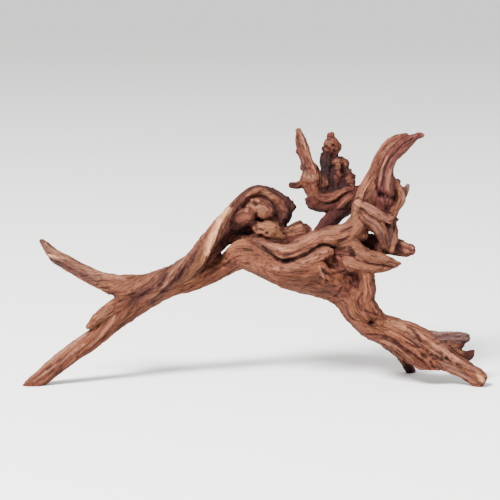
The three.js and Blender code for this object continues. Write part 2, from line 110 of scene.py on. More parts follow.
bodyLimbs = {
    "stem": [(224, 263, 14, 5, 8), (236, 255.8, 8, 11.4, 14), (246.5, 253.6, 3, 16, 18),
        (258, 256.7, 3, 16.8, 21), (272, 264, 4, 18, 24), (292, 273, 7, 18, 28),
        (314, 278, 11, 17.5, 30), (336, 283, 13, 18, 29), (351, 294, 12, 17, 25),
        (361, 308.5, 9, 17, 20), (374, 325, 7, 15, 17), (394, 334, 5, 15, 17),
        (412, 343, 3, 13.5, 15.5), (428, 351.5, 1, 12, 14), (443, 359, -1, 10.5, 12),
        (458, 366.5, -3, 9.2, 10.5), (471, 374, -4, 8.4, 9.5), (482, 380.5, -5, 8.2, 8.5)],
    "spine": [(250, 247, 16, 10, 13), (266, 250, 20, 11, 15), (287, 251, 23, 12, 16),
        (312, 249, 25, 14, 17), (336, 252, 23, 16, 17), (357, 252, 16, 14, 14)],
    "rope": [(244, 241.5, 1, 3, 5), (256, 242.5, -7, 5, 7.5), (267, 247, -12, 6, 8),
        (276, 251, -14, 7, 8.5), (287, 252, -16, 7.6, 9), (303, 247, -17, 9.3, 10.5),
        (319, 238.5, -16, 9.2, 11.5), (335, 236, -13, 9.6, 12.5), (350, 232.2, -9, 10.4, 13.5),
        (360, 221, -5, 9.5, 13), (365, 206, -2, 8.5, 12)],
    "fold": [(331, 250, -17, 4, 6), (324, 252.5, -18, 6, 8), (311, 259.5, -18, 7, 9),
        (297, 266.5, -16, 8, 10), (280, 271, -11, 9, 11), (264, 267, -7, 7.5, 9), (250, 260, 0, 5, 7)],
    "belly": [(258, 262, 0, 8, 10), (278, 269, -5, 12, 19), (300, 272, -9, 14, 20),
        (318, 272, -8, 13.5, 19), (336, 281, -1, 10, 16)],
    "foldBed": [(319, 262, -9, 6, 7), (330, 262, -10, 8, 8), (341, 266, -9, 8, 8),
        (350, 269, -8, 6, 7)],
    "beakBed": [(333, 250, -9, 6, 6), (345, 250, -11, 6, 6), (354, 256, -11, 5, 6)],
    "pillar": [(358, 262, -3, 9, 12), (363, 277, -5, 10.5, 12), (364.5, 291, -6, 10.8, 13),
        (365, 303.5, -5, 10.5, 14), (373, 315.5, -2, 10.5, 13), (381, 325, 3, 7.5, 10)],
    "beakUpper": [(338, 240, -8, 7, 9), (352, 246, -12, 7.5, 9.5), (366, 255, -13, 5.5, 8.5),
        (380, 258.6, -11, 5.2, 7), (390, 261.5, -9, 3.4, 5.5), (401, 263.8, -6, 1.4, 2)],
    "beakLower": [(336, 262, 8, 7, 8), (344, 261.5, -3, 7.5, 9), (354, 264, -12, 8, 10),
        (366, 267, -12, 5.6, 8), (382, 266.8, -9, 4.2, 6), (397, 265, -6, 1.5, 2.6)],
    "beakMiddle": [(357, 259, -9, 5, 7), (370, 262, -12, 4.4, 7), (384, 263.6, -9.5, 3.2, 5.6),
        (394, 264.5, -7, 1.6, 3)],
    "rearRoot": [(300, 262, 34, 13, 12), (296, 268, 50, 9, 9), (290, 272, 64, 7, 7),
        (286, 275, 74, 4.5, 4.5)],
}

rightLegLimbs = {
    "legLow": [(351, 314, 5, 4, 6), (364, 327, -2, 7, 9), (378, 335.5, -5, 6.5, 9),
        (394, 344.5, -7, 6.6, 9), (408, 355, -7, 6.5, 8.5), (421, 363.8, -7, 5, 7.5),
        (432, 368, -6, 2.8, 5), (438, 369.3, -5, 1.5, 3)],
    "legMiddle": [(380, 329, -2, 4, 6), (392, 335.5, -8, 5, 7.5), (406, 343, -11, 5, 7),
        (419, 352, -11, 4.8, 7), (430, 359.5, -8, 5, 7.5), (440, 365, -3, 4, 7)],
    "legTop": [(382, 321, 4, 4, 6), (396, 326, -2, 6, 9), (410, 329, -5, 6.5, 9), (424, 337, -6, 7, 9),
        (438, 347, -7, 7, 8.5), (452, 357.5, -7, 6, 7.5), (466, 365, -7, 4.5, 6),
        (481, 371.5, -6, 2.6, 4)],
    "greyProng": [(418, 336, 6, 7, 9), (433, 339.4, 11, 7.8, 9), (447, 339.6, 14, 7.6, 8.5),
        (459, 339, 16, 7, 7.5), (466, 338.3, 17, 4.6, 5.5), (469, 338.5, 17, 2.4, 3)],
    "prongUnder": [(440, 346, 8, 5, 7), (453, 345, 12, 4, 6), (462, 345.5, 14, 2.5, 4)],
    "toeNub": [(446, 351, 8, 6, 7), (457, 354, 11, 5.5, 6.5), (465, 356, 13, 5.2, 5.5),
        (470, 354.5, 14, 4.4, 4), (473.5, 350.5, 14, 1.8, 2.5)],
    "rearFoot": [(388, 338, 16, 9, 9), (397, 348, 32, 7, 7), (405.5, 359, 49, 5.4, 5.4),
        (410.5, 370, 65, 4.6, 4.6), (413, 378, 75, 4.4, 4.4)],
    "rearKnot": [(380, 326, 20, 9, 8), (392, 330, 26, 7, 7), (404, 338, 26, 5, 6)],
}

hornLimbs = {
    "hornPost": [(359.5, 237, -5, 9.6, 11), (356.5, 220, -6, 6, 9), (359.5, 204, -4, 6.5, 10),
        (367, 189, -2, 8, 11), (376, 174, 0, 7.7, 9.5), (382, 158, 2, 7, 8), (390, 145, 3, 6, 6.5),
        (399.5, 138, 4, 3.9, 5), (407, 134.2, 5, 1.2, 2)],
    "hornMiddle": [(371, 223.5, 4, 8, 9), (376, 211, 2, 11, 12), (376, 198, 2, 11, 12),
        (380, 184, 0, 9, 10.5), (384, 170, -1, 7, 9), (390, 158, -1, 6, 8), (399, 148.5, 0, 5.5, 7),
        (408, 141, 1, 4.2, 6), (416, 136.5, 2, 3.2, 4.5), (423, 135, 3, 1.6, 2.2)],
    "hornRight": [(383, 212, 6, 6, 7), (386.5, 201, 0, 6, 8), (388, 191, -4, 5.5, 8),
        (388.3, 181, -5, 5, 7.5), (389, 170, -5, 4.8, 7), (392, 160, -4, 4.2, 6.5),
        (400.5, 151.5, -3, 3.8, 5.5), (409, 145, -1, 2.5, 4), (415, 140, 0, 1.5, 3)],
    "hornRear": [(382, 224, 12, 7, 8), (386, 208, 12, 11, 9), (386, 193, 10, 10, 8),
        (386, 172, 6, 6, 6)],
    "strapUpper": [(357, 201.5, -10, 3.6, 5), (366, 207, -15, 4.4, 5.5), (378, 213.5, -17, 4.4, 5.5),
        (391, 220.5, -15, 3.8, 5)],
    "strapLower": [(357, 211, -9, 3.5, 5), (366, 217.5, -13, 5, 5.5), (375, 223, -14, 6, 6),
        (382, 233, -13, 5.5, 6), (385, 246, -11, 4, 6)],
    "ear": [(391, 176, 2, 2, 5), (397, 187, 4, 4.5, 7), (400.5, 198, 5, 5, 8), (395.5, 208, 3, 4.5, 8),
        (390, 218, -1, 4.5, 7)],
    "earNub": [(396, 187, 6, 2, 2.5), (397.6, 183.4, 7, 1.9, 2.2), (398.6, 180.6, 8, 3, 3)],
    "earSpike": [(402, 199, 6, 3, 4), (404.8, 192, 7, 3, 3.5), (408.2, 184.6, 8, 1.5, 1.8)],
    "column": [(391, 217, -3, 4.5, 7), (391.5, 229, -4, 5.4, 7), (391, 240, -4, 5.8, 8),
        (387, 249, -4, 6, 8)],
    "columnBack": [(388, 214, 6, 5, 5), (386, 228, 5, 5, 5), (384, 242, 5, 6, 6)],
    "twigUpper": [(389, 223.5, -4, 2.2, 2.5), (394, 220.5, -5, 1.7, 1.8), (398.5, 218.9, -6, 1.1, 1.1)],
    "twigLower": [(391, 232, -3, 2, 2.5), (395.5, 231, -3, 1.5, 1.6), (399, 230, -3, 1, 1)],
    "frayUpper": [(395, 141, 4, 2.6, 3), (402.5, 134.6, 4, 1.5, 1.8), (407.5, 132.8, 4, 0.9, 0.9)],
    "frayLower": [(398, 143, 2, 2, 2.5), (404.5, 137.4, 3, 1.2, 1.4), (408.5, 135.6, 3, 0.8, 0.8)],
    "stubRight": [(380, 247, 4, 7, 8), (394, 247, 4, 8.6, 9), (404, 249.8, 3, 7.2, 8),
        (413, 250.2, 2, 5, 5.8)],
    "strapBack": [(357, 214, -4, 5, 7), (365, 221, -6.5, 7, 7), (377, 226.5, -8, 7, 7),
        (385.5, 239, -7, 5.6, 6)],
    "underArch": [(358, 253, 10, 9, 10), (369, 243.5, 14, 9.5, 10), (382, 248, 12, 7.5, 9)],
}

clusterLimbs = {
    "clusterStem": [(318, 241, 18, 8.2, 11), (326, 228, 25, 7.8, 10), (334.6, 217, 30, 8, 10),
        (346, 206, 34, 8.8, 10), (360, 195, 32, 9, 10), (372, 186, 20, 7, 9)],
    "clusterCup": [(306, 200.5, 36, 2.5, 4), (313, 204, 34, 5.5, 8), (324, 206, 33, 6, 9),
        (335, 203.5, 33, 6.5, 9), (344, 197, 35, 6, 9), (357, 191, 37, 4.5, 8), (367, 188, 32, 4, 7)],
    "clusterFold": [(317, 196, 33, 3, 5), (325, 199, 28, 4.4, 6), (334, 197, 28, 4.6, 7),
        (342, 192, 30, 4, 7), (351, 189.5, 34, 3.2, 7), (361, 190.5, 37, 3, 6)],
    "clusterLeaf": [(337, 210, 27, 3, 4), (342, 205, 25, 4.4, 5), (348, 199, 27, 4.6, 5),
        (356, 194.5, 30, 4, 5), (363, 193, 32, 3, 5)],
    "prong": [(298.2, 129, 40, 3.2, 3), (301.2, 139, 41, 5, 4.4), (304, 151, 42, 5.9, 5.4),
        (306.8, 162, 43, 6.3, 6.2), (310.5, 172, 44, 8.8, 8), (311, 181, 44, 10.6, 10),
        (313, 191, 42, 7.5, 9), (317, 201, 39, 7, 8)],
    "prongSplinter": [(295.8, 135, 43, 1.1, 1.2), (297.8, 145, 44, 2, 2.2), (301, 156, 45, 2.2, 3)],
    "prongNub": [(302, 153, 43, 3.4, 3.4), (297.3, 151.6, 43, 2.5, 2.6)],
    "prongLedge": [(305, 168, 42, 4, 4), (301, 167, 42, 2.2, 2.4)],
    "sideTwig": [(304, 183, 42, 4, 5), (297, 185.3, 40, 3.4, 3.2), (289.5, 184.4, 38, 2.3, 2.3)],
    "tower": [(330.5, 139, 46, 4.4, 5), (330, 149, 47, 7.5, 7), (330, 157, 47, 8.5, 8),
        (331, 165, 46, 9.5, 9.5), (333, 175, 45, 12, 12), (336, 186, 43, 15, 14),
        (338, 197, 40, 15, 13)],
    "towerNub": [(330.4, 134, 45, 4.4, 4.2), (330.8, 138, 45, 4, 4.4), (330.5, 142, 44, 5, 5.5)],
    "towerHead": [(326.5, 142.5, 43, 4.5, 5), (330.5, 145, 41, 8.4, 7.5), (334, 147, 41, 7.8, 7),
        (335.5, 153, 42, 4.2, 5)],
    "towerNeck": [(326.5, 154, 43, 4.4, 5.5), (326.5, 162, 41, 5.2, 6.5), (326.5, 171, 40, 4.8, 7),
        (326.5, 182, 39, 4, 6), (325, 192, 38, 4, 5)],
    "towerLump": [(337, 160, 39, 4, 4.5), (339, 167, 37, 5, 6), (338, 175, 37, 4, 5.5),
        (336.5, 183, 38, 3, 4)],
    "towerBumpUpper": [(339, 167, 42, 5, 6), (344, 162.5, 39, 4.6, 4.6), (345.5, 167, 38, 3.8, 4)],
    "towerKnotUpper": [(334, 163, 38, 3.4, 4), (338.5, 162.5, 34, 3.6, 4), (340, 166.5, 34, 3, 3.6)],
    "towerKnotMiddle": [(336, 173, 36, 3.2, 4), (340, 174, 33, 3.4, 4), (341, 178.5, 34, 2.6, 3.4)],
    "towerKnotLower": [(345, 183, 36, 3.6, 4), (349.5, 184.5, 34, 3.6, 4), (352.5, 188, 35, 2.6, 3.4)],
    "towerKnotLeft": [(326, 178, 36, 3, 4), (327, 183, 33, 3.6, 4), (325, 188, 34, 3, 3.6)],
    "towerBumpSide": [(343, 171, 40, 5, 6), (347.5, 171, 38, 3.6, 4), (349, 175, 38, 3, 4)],
    "towerBumpMiddle": [(341, 158, 43, 2, 2.4), (340.6, 156, 43, 1.1, 1.2)],
    "towerBumpLower": [(342, 186, 42, 6, 8), (348, 181.5, 37, 6.4, 7), (351, 178, 38, 4, 5),
        (353.6, 175, 39, 2.2, 2.6)],
}

limbs = {**forkLimbs, **hoodLimbs, **bodyLimbs, **rightLegLimbs, **hornLimbs, **clusterLimbs}

# Scooped hollows: column, row, depth, half width, half height, half depth.
hollows = {
    "besideFold": (333, 263, -17, 8, 7, 5.5),
    "besidePillar": (354, 281, -16, 6, 8.5, 9),
    "underHorn": (382, 195, -11, 4.5, 4, 5),
    "knotHole": (371, 323, -13, 3, 2.3, 6),
}
hollowFacing = 0.3  # faces with more than this of their normal along the sight are left alone

# How the wood's skin is made.
skin = {
    "broadLobes": (3, 0.05, 14.0),   # lobes round a limb, depth as a share of its half width, turn in rad/m
    "fineLobes": (5, 0.05, -9.0),
    "limbPhase": 2.4,                # radians from one limb's lobes to the next one's
    "leastHalf": 0.6 * mm,           # half width that no limb is thinner than
    "tipShare": 0.45,                # how far a limb's end swells past its last station
    "tipAngles": (72.0, 48.0, 24.0),  # degrees round the dome that closes it, where its rings lie
    "loftStep": 2.4 * mm,            # spacing of rings and sides
    "sides": (14, 64),               # fewest and most sides of a ring
    "voxel": 1.15 * mm,              # spacing of the fused skin's vertices
    "loftEvening": 3,                # rounds of evening after the limbs are fused
    "fillet": 24,                    # rounds of easing where limbs meet
    "skinEvening": 6,                # rounds of evening after the hollows are scooped
    "triangles": 190000,             # kept at the end, spared from the side that is out of sight
    "hiddenBelow": 0.3,              # share in view under which a vertex counts as out of sight
}


# a point from its column, row and depth: a pixel widens with depth, and the view's axes carry the point out
# from the middle
def seen(column, row, back):
    column, row, back = (np.asarray(x, float)[..., None] for x in (column, row, back))
    spread = sideView["pixel"] * (1 + back / sideView["distance"])
    flat = viewRight * (column - sideView["middle"]) + viewUp * (sideView["middle"] - row)
    return viewMiddle + flat * spread + sight * back


# the same the other way: depth along the sight, then columns and rows by the pixel's width at that depth
def viewed(points):
    local = points - viewMiddle
    back = local @ sight
    spread = sideView["pixel"] * (1 + back / sideView["distance"])
    column = sideView["middle"] + local @ viewRight / spread
    row = sideView["middle"] - local @ viewUp / spread
    return column, row, back


# a smooth line: between two points, the cubic that leaves and meets them along half the chord between
# their neighbours; past each end the last chord is carried on
def smoothLine(points, t):
    points = np.asarray(points, float)
    padded = np.vstack([2 * points[0] - points[1], points, 2 * points[-1] - points[-2]])
    x = t * (len(points) - 1)
    i = np.minimum(x.astype(int), len(points) - 2)
    w = (x - i)[:, None]
    p1, p2 = padded[i + 1], padded[i + 2]
    m1, m2 = (p2 - padded[i]) / 2, (padded[i + 3] - p1) / 2
    a, b = 2 * (p1 - p2) + m1 + m2, 3 * (p2 - p1) - 2 * m1 - m2
    return ((a * w + b) * w + m1) * w + p1, (3 * a * w + 2 * b) * w + m1


# a direction: the vector over its own length
def unit(v):
    return v / np.linalg.norm(v, axis=-1, keepdims=True)


# a limb's rings: centres on the smooth line, and at each the axis across the view, the axis along the
# sight, the two half widths and the length run so far
def limbRings(stations, step):
    s = np.array(stations, float)
    places = seen(s[:, 0], s[:, 1], s[:, 2] * mm)
    rough, _ = smoothLine(places, np.linspace(0, 1, 20 * len(s)))  # fine enough to measure its length
    length = np.linalg.norm(np.diff(rough, axis=0), axis=1).sum()
    t = np.linspace(0, 1, max(2 * len(s), math.ceil(length / step) + 1))
    centre, slope = smoothLine(places, t)
    half, _ = smoothLine(s[:, 3:5] * mm, t)
    tangent = unit(slope)
    across = unit(np.cross(sight, tangent))
    through = np.cross(tangent, across)
    run = np.linalg.norm(np.diff(centre, axis=0), axis=1)
    along = np.concatenate([[0.0], np.cumsum(run)])
    return {"centre": centre, "tangent": tangent, "across": across, "through": through,
            "half": np.maximum(half, skin["leastHalf"]), "along": along}


# Limbs that split or broke along flat faces, by the power of their squarish section.
plainOval = 2.0  # every other limb's power
splitLimbs = {
    "brokenStub": 3.0, "knobLeft": 3.0, "knobCrest": 3.5, "knobRight": 4.5, "knobLow": 4.0,
    "leafStub": 3.0, "leafTip": 3.0, "beakUpper": 3.0, "beakLower": 3.0, "greyProng": 3.5,
    "strapUpper": 5.0, "strapLower": 5.0, "column": 4.0, "stubRight": 3.0,
    "clusterFold": 3.0, "clusterLeaf": 3.5, "towerBumpUpper": 3.5, "towerBumpLower": 3.5,
    "towerKnotUpper": 3.5, "towerKnotMiddle": 3.5, "towerKnotLower": 3.5, "towerKnotLeft": 3.5,
}


# a limb's surface: each ring is an oval, or a squarish one of the given power, whose radius swells and sinks
# as two cosines of the angle that turn slowly along the limb; quarter-circle domes close the ends
def limbSurface(rings, phase, power):
    dome = np.radians(skin["tipAngles"])
    reach = skin["tipShare"] * rings["half"][[0, -1]].min(axis=1)

    # the first dome's values, then the limb's own, then the last dome's
    def withDomes(values, first, last):
        return np.concatenate([first, values, last])

    start, end = rings["centre"][0], rings["centre"][-1]
    centre = withDomes(rings["centre"],
                       start - np.outer(np.sin(dome), rings["tangent"][0]) * reach[0],
                       end + np.outer(np.sin(dome[::-1]), rings["tangent"][-1]) * reach[1])
    half = withDomes(rings["half"], np.outer(np.cos(dome), rings["half"][0]),
                     np.outer(np.cos(dome[::-1]), rings["half"][-1]))
    extra = len(dome)
    across, through = (np.pad(rings[k], ((extra, extra), (0, 0)), mode="edge")
                       for k in ("across", "through"))
    along = withDomes(rings["along"], np.zeros(extra), np.full(extra, rings["along"][-1]))
    sides = int(np.clip(2 * np.pi * rings["half"].max() / skin["loftStep"], *skin["sides"]))
    angle = np.linspace(0, 2 * np.pi, sides, endpoint=False)
    out = (np.abs(np.cos(angle)) ** power + np.abs(np.sin(angle)) ** power) ** (-1 / power)
    for lobes, depth, turn in (skin["broadLobes"], skin["fineLobes"]):
        out = out + depth * np.cos(lobes * (angle[None, :] + turn * along[:, None]) + phase)
    grid = (centre[:, None] + across[:, None] * (half[:, :1] * out * np.cos(angle))[..., None]
            + through[:, None] * (half[:, 1:] * out * np.sin(angle))[..., None])
    poles = [start - rings["tangent"][0] * reach[0], end + rings["tangent"][-1] * reach[1]]
    points = np.vstack([grid.reshape(-1, 3), poles])
    # a foot is sawn flat: what lies under the floor slides back along the limb's end to the floor
    ends = np.where(np.linalg.norm(points - start, axis=1) < np.linalg.norm(points - end, axis=1), 0, -1)
    slope = rings["tangent"][ends]
    under = np.minimum(points[:, 2:], 0)
    points = points - slope * under / np.where(under < 0, slope[:, 2:], 1)
    count = len(grid)
    number = np.arange(count * sides).reshape(count, sides)
    beside = np.roll(number, -1, axis=1)
    quads = np.stack([number[:-1], beside[:-1], beside[1:], number[1:]], axis=-1).reshape(-1, 4)
    startFan = np.stack([np.full(sides, count * sides), beside[0], number[0]], axis=-1)
    endFan = np.stack([np.full(sides, count * sides + 1), number[-1], beside[-1]], axis=-1)
    return points, quads, np.vstack([startFan, endFan])


# the largest connected surface: each vertex takes the least number among its neighbours until none
# changes, with every number handed on through the vertex that it names; sealed pockets in the wood drop out
def outerSkin(points, quads, edges):
    group = np.arange(len(points))
    while True:
        least = np.minimum(group[edges[:, 0]], group[edges[:, 1]])
        handed = group.copy()
        np.minimum.at(handed, group[edges[:, 0]], least)
        np.minimum.at(handed, group[edges[:, 1]], least)
        handed = handed[handed]
        if (handed == group).all():
            break
        group = handed
    keep = group == np.bincount(group).argmax()
    number = np.cumsum(keep) - 1
    print("surfaces", len(np.unique(group)), "kept", keep.mean().round(4))
    return points[keep], number[quads[keep[quads[:, 0]]]], number[edges[keep[edges[:, 0]]]]


# one mesh of many closed surfaces, fused by Blender's voxel remesh into one even skin of quads
def fusedSkin(points, faces, voxel):
    mesh = bpy.data.meshes.new("loft")
    mesh.from_pydata(points.tolist(), [], faces)
    loft = bpy.data.objects.new("loft", mesh)
    bpy.context.scene.collection.objects.link(loft)
    remesh = loft.modifiers.new("skin", "REMESH")
    remesh.mode = "VOXEL"
    remesh.voxel_size = voxel
    made = bpy.data.meshes.new_from_object(loft.evaluated_get(bpy.context.evaluated_depsgraph_get()))
    bpy.data.objects.remove(loft)
    bpy.data.meshes.remove(mesh)
    place = np.zeros(len(made.vertices) * 3, np.float32)
    made.vertices.foreach_get("co", place)
    corner = np.zeros(len(made.loops), np.int32)
    made.loops.foreach_get("vertex_index", corner)
    edge = np.zeros(len(made.edges) * 2, np.int32)
    made.edges.foreach_get("vertices", edge)
    bpy.data.meshes.remove(made)
    return outerSkin(place.reshape(-1, 3).astype(float), corner.reshape(-1, 4), edge.reshape(-1, 2))


# sums of rows of values that share an index
def gathered(index, values, count):
    return np.stack([np.bincount(index, values[:, k], count) for k in range(values.shape[1])], axis=-1)


# a vertex's normal: the sum of the cross products of its quads' diagonals
def normalsOf(points, quads):
    face = np.cross(points[quads[:, 2]] - points[quads[:, 0]], points[quads[:, 3]] - points[quads[:, 1]])
    return unit(gathered(quads.ravel(), np.repeat(face, 4, axis=0), len(points)) + 1e-12)


# the mean of a vertex's neighbours along edges, less the vertex itself
def pullOf(points, edges):
    both = np.concatenate([edges, edges[:, ::-1]])
    total = gathered(both[:, 0], points[both[:, 1]], len(points))
    number = np.bincount(both[:, 0], minlength=len(points))[:, None]
    return total / number - points


# evens the voxel steps out and keeps the size: a step towards the neighbours' mean, then a longer one back
def evened(points, edges, rounds):
    step, stepBack = 0.5, 0.53
    for _ in range(rounds):
        points = points + step * pullOf(points, edges)
        points = points - stepBack * pullOf(points, edges)
    return points


# fills the inner corners where limbs meet: a vertex that lies below its neighbours' mean rises half way to
# it, one that lies above it stays, and all slide a little towards even spacing
def filleted(points, quads, edges, rounds):
    rise, slide = 0.5, 0.04
    for _ in range(rounds):
        normal = normalsOf(points, quads)
        pull = pullOf(points, edges)
        height = (pull * normal).sum(axis=1, keepdims=True)
        points = points + rise * np.maximum(height, 0) * normal + slide * (pull - height * normal)
    return points


# repeatable noise from -1 to 1: a hashed value at each corner of a unit lattice, blended by a fade of the
# fifth degree; the large odd numbers only scatter the hash
def lumps(points, seed):
    base = np.floor(points)
    part = points - base
    fade = part ** 3 * (part * (part * 6 - 15) + 10)
    cell = base.astype(np.int64)
    total = np.zeros(len(points))
    for corner in np.ndindex(2, 2, 2):
        x, y, z = (cell + corner).T
        h = (x * 374761393 + y * 668265263 + z * 2147483647 + seed * 974634533) & 0xFFFFFFFF
        h = ((h ^ (h >> 13)) * 1274126177) & 0xFFFFFFFF
        h = ((h ^ (h >> 16)) * 2246822519) & 0xFFFFFFFF
        value = (h ^ (h >> 15)) / 2147483648.0 - 1.0
        total += value * np.prod(np.where(corner, fade, 1 - fade), axis=1)
    return total


# several sizes of the same noise, each about half as large and as strong as the last, spread to fill
# about -1 to 1
def roughness(points, seed, sizes):
    weaker, finer, spread = 0.55, 2.03, 1.6
    share = weaker ** np.arange(sizes)
    total = sum(w * lumps(points * finer ** k, seed + k) for k, w in enumerate(share))
    return total / share.sum() * spread


# a smooth step from 0 to 1: three times the square, less twice the cube
def eased(x):
    x = np.clip(x, 0, 1)
    return x * x * (3 - 2 * x)


# an sRGB hex colour as linear red, green and blue
def linear(colour):
    s = np.array([int(colour[i:i + 2], 16) for i in (1, 3, 5)]) / 255
    return np.where(s <= 0.04045, s / 12.92, ((s + 0.055) / 1.055) ** 2.4)


# Tones of bare root wood after years in water and sun, from bleached outer fibre to rot and painted shade in
# the hollows.
woodTones = {
    "pale": "#b88260", "cream": "#885d48", "ochre": "#704832", "tan": "#5f3929",
    "warm": "#573121", "rose": "#4c2722", "grey": "#563e3a", "brown": "#46241b",
    "redBrown": "#3c1a13", "plum": "#341b18", "dark": "#2e120f", "black": "#1c0908",
}
toneOf = {name: linear(colour) for name, colour in woodTones.items()}

# Each limb's own tone, and how gnarled it is (millimetres of lumps).
# Limbs deep in hollows or tucked under others (hood floor, flank and teeth, knob bed, lip underside, under
# arch) take dark tones that are partly stain and partly painted shade.
limbLook = {
    "leftLeg": ("warm", 0.45), "brokenStub": ("warm", 0.5), "leftProng": ("tan", 0.45),
    "prongStep": ("grey", 0.3), "rearRidge": ("brown", 0.7),
    "hoodWall": ("brown", 0.6), "hoodFloor": ("dark", 0.8), "hoodFlank": ("plum", 1.0),
    "hoodToothUpper": ("dark", 0.6), "hoodToothMiddle": ("black", 0.6),
    "hoodToothLower": ("black", 0.6), "knobLeft": ("brown", 0.8), "knobCrest": ("warm", 0.6),
    "knobRight": ("tan", 0.8), "knobEdge": ("tan", 0.8), "knobLow": ("tan", 0.9),
    "knobBed": ("plum", 0.8), "lipUnder": ("plum", 0.6), "knobUnder": ("brown", 0.8),
    "leafStub": ("tan", 0.7), "leafTip": ("redBrown", 0.4),
    "stem": ("warm", 0.7), "spine": ("brown", 0.9), "rope": ("tan", 0.6), "fold": ("tan", 0.6),
    "belly": ("warm", 0.7), "foldBed": ("brown", 0.9), "beakBed": ("brown", 0.6),
    "pillar": ("warm", 0.8), "beakUpper": ("tan", 0.4), "beakLower": ("tan", 0.4),
    "beakMiddle": ("tan", 0.4), "rearRoot": ("brown", 0.9),
    "legLow": ("warm", 0.7), "legMiddle": ("warm", 0.7), "legTop": ("tan", 0.6),
    "greyProng": ("grey", 0.4), "prongUnder": ("redBrown", 0.4), "toeNub": ("dark", 0.5),
    "rearFoot": ("brown", 0.7), "rearKnot": ("brown", 0.9),
    "hornPost": ("tan", 0.4), "hornMiddle": ("rose", 0.4), "hornRight": ("rose", 0.4),
    "hornRear": ("redBrown", 0.5), "strapUpper": ("tan", 0.4), "strapLower": ("tan", 0.4),
    "ear": ("tan", 0.5), "earNub": ("grey", 0.3), "earSpike": ("grey", 0.3), "column": ("tan", 0.6),
    "columnBack": ("brown", 0.6), "twigUpper": ("dark", 0.2), "twigLower": ("brown", 0.2),
    "frayUpper": ("brown", 0.2), "frayLower": ("brown", 0.2), "stubRight": ("brown", 0.5),
    "strapBack": ("brown", 0.5), "underArch": ("redBrown", 0.6),
    "clusterStem": ("dark", 0.9), "clusterCup": ("redBrown", 0.8), "clusterFold": ("brown", 0.6),
    "clusterLeaf": ("brown", 0.5), "prong": ("warm", 0.8), "prongSplinter": ("dark", 0.3),
    "prongNub": ("brown", 0.3), "prongLedge": ("brown", 0.3), "sideTwig": ("brown", 0.3),
    "tower": ("black", 2.0), "towerNub": ("brown", 0.5), "towerHead": ("brown", 1.1),
    "towerNeck": ("black", 1.4), "towerLump": ("plum", 1.8), "towerBumpUpper": ("brown", 1.5),
    "towerKnotUpper": ("warm", 1.0), "towerKnotMiddle": ("brown", 1.0),
    "towerKnotLower": ("brown", 1.0), "towerKnotLeft": ("brown", 0.8), "towerBumpSide": ("plum", 1.5),
    "towerBumpMiddle": ("dark", 0.3), "towerBumpLower": ("redBrown", 1.5),
}

# How far the grain winds round a limb, radians a metre.
grainTwist = {"leftProng": 38.0, "leftLeg": 14.0, "hornMiddle": 6.0}

# Stains, grooves and holes on the side in view, with painted highlights on lit ridges and painted shade in
# holes, hollows, gaps and under parts among them, laid on in this order.
# Each is a tone, half width in pixels, depth in millimetres, strength, and its line by (column, row).
forkMarks = [
    ("grey", 6, 0, 0.5, [(44, 243), (60, 257), (80, 270), (100, 279)]),
    ("cream", 2.2, 0, 0.75, [(46, 245), (60, 255), (78, 265), (100, 274), (125, 279)]),
    ("plum", 2.6, 0.2, 0.5, [(51, 259), (62, 265), (76, 272), (92, 280)]),
    ("redBrown", 1.1, 0.5, 0.6, [(64, 262), (75, 266), (87, 272)]),
    ("pale", 1.4, 0, 0.75, [(49, 255.5), (54, 256), (58, 258)]),
    ("dark", 1.0, 0.6, 0.6, [(48, 253), (53, 254), (58, 256)]),
    ("tan", 7, 0, 0.6, [(118, 285), (128, 287), (138, 288)]),
    ("redBrown", 3, 0, 0.5, [(106, 288), (113, 293), (118, 297)]),
    ("black", 1.8, 1.2, 0.85, [(111, 295), (115, 297)]),
    ("redBrown", 4, 0, 0.5, [(138, 303), (150, 298), (163, 294)]),
    ("redBrown", 1.2, 0.6, 0.6, [(90, 323), (104, 313), (116, 305)]),
    ("cream", 1.8, 0, 0.5, [(96, 319), (104, 313), (112, 308)]),
    ("dark", 1.0, 0.7, 0.6, [(112, 305), (122, 300)]),
    ("tan", 4, 0, 0.5, [(110, 319), (100, 328), (90, 338)]),
    ("cream", 1.2, 0, 0.6, [(115, 316), (110, 325), (102, 335), (90, 346)]),
    ("cream", 1.0, 0, 0.5, [(112, 314), (100, 322), (85, 333)]),
    ("redBrown", 1.3, 0.8, 0.65, [(114, 325), (105, 336), (95, 345), (85, 353)]),
    ("cream", 2.0, 0, 0.75, [(26, 379), (45, 364), (65, 349), (85, 335)]),
    ("cream", 1.4, 0, 0.6, [(34, 381), (50, 369), (68, 355), (84, 344)]),
    ("brown", 1.8, 0.4, 0.5, [(36, 383), (52, 372), (72, 359)]),
    ("redBrown", 1.0, 0.6, 0.6, [(50, 368), (60, 360), (72, 350)]),
    ("dark", 1.1, 0.7, 0.75, [(47, 370), (52, 366)]),
    ("dark", 1.1, 0.7, 0.7, [(56, 363), (61, 359)]),
    ("dark", 1.4, 0, 0.6, [(25, 384), (40, 384)]),
]
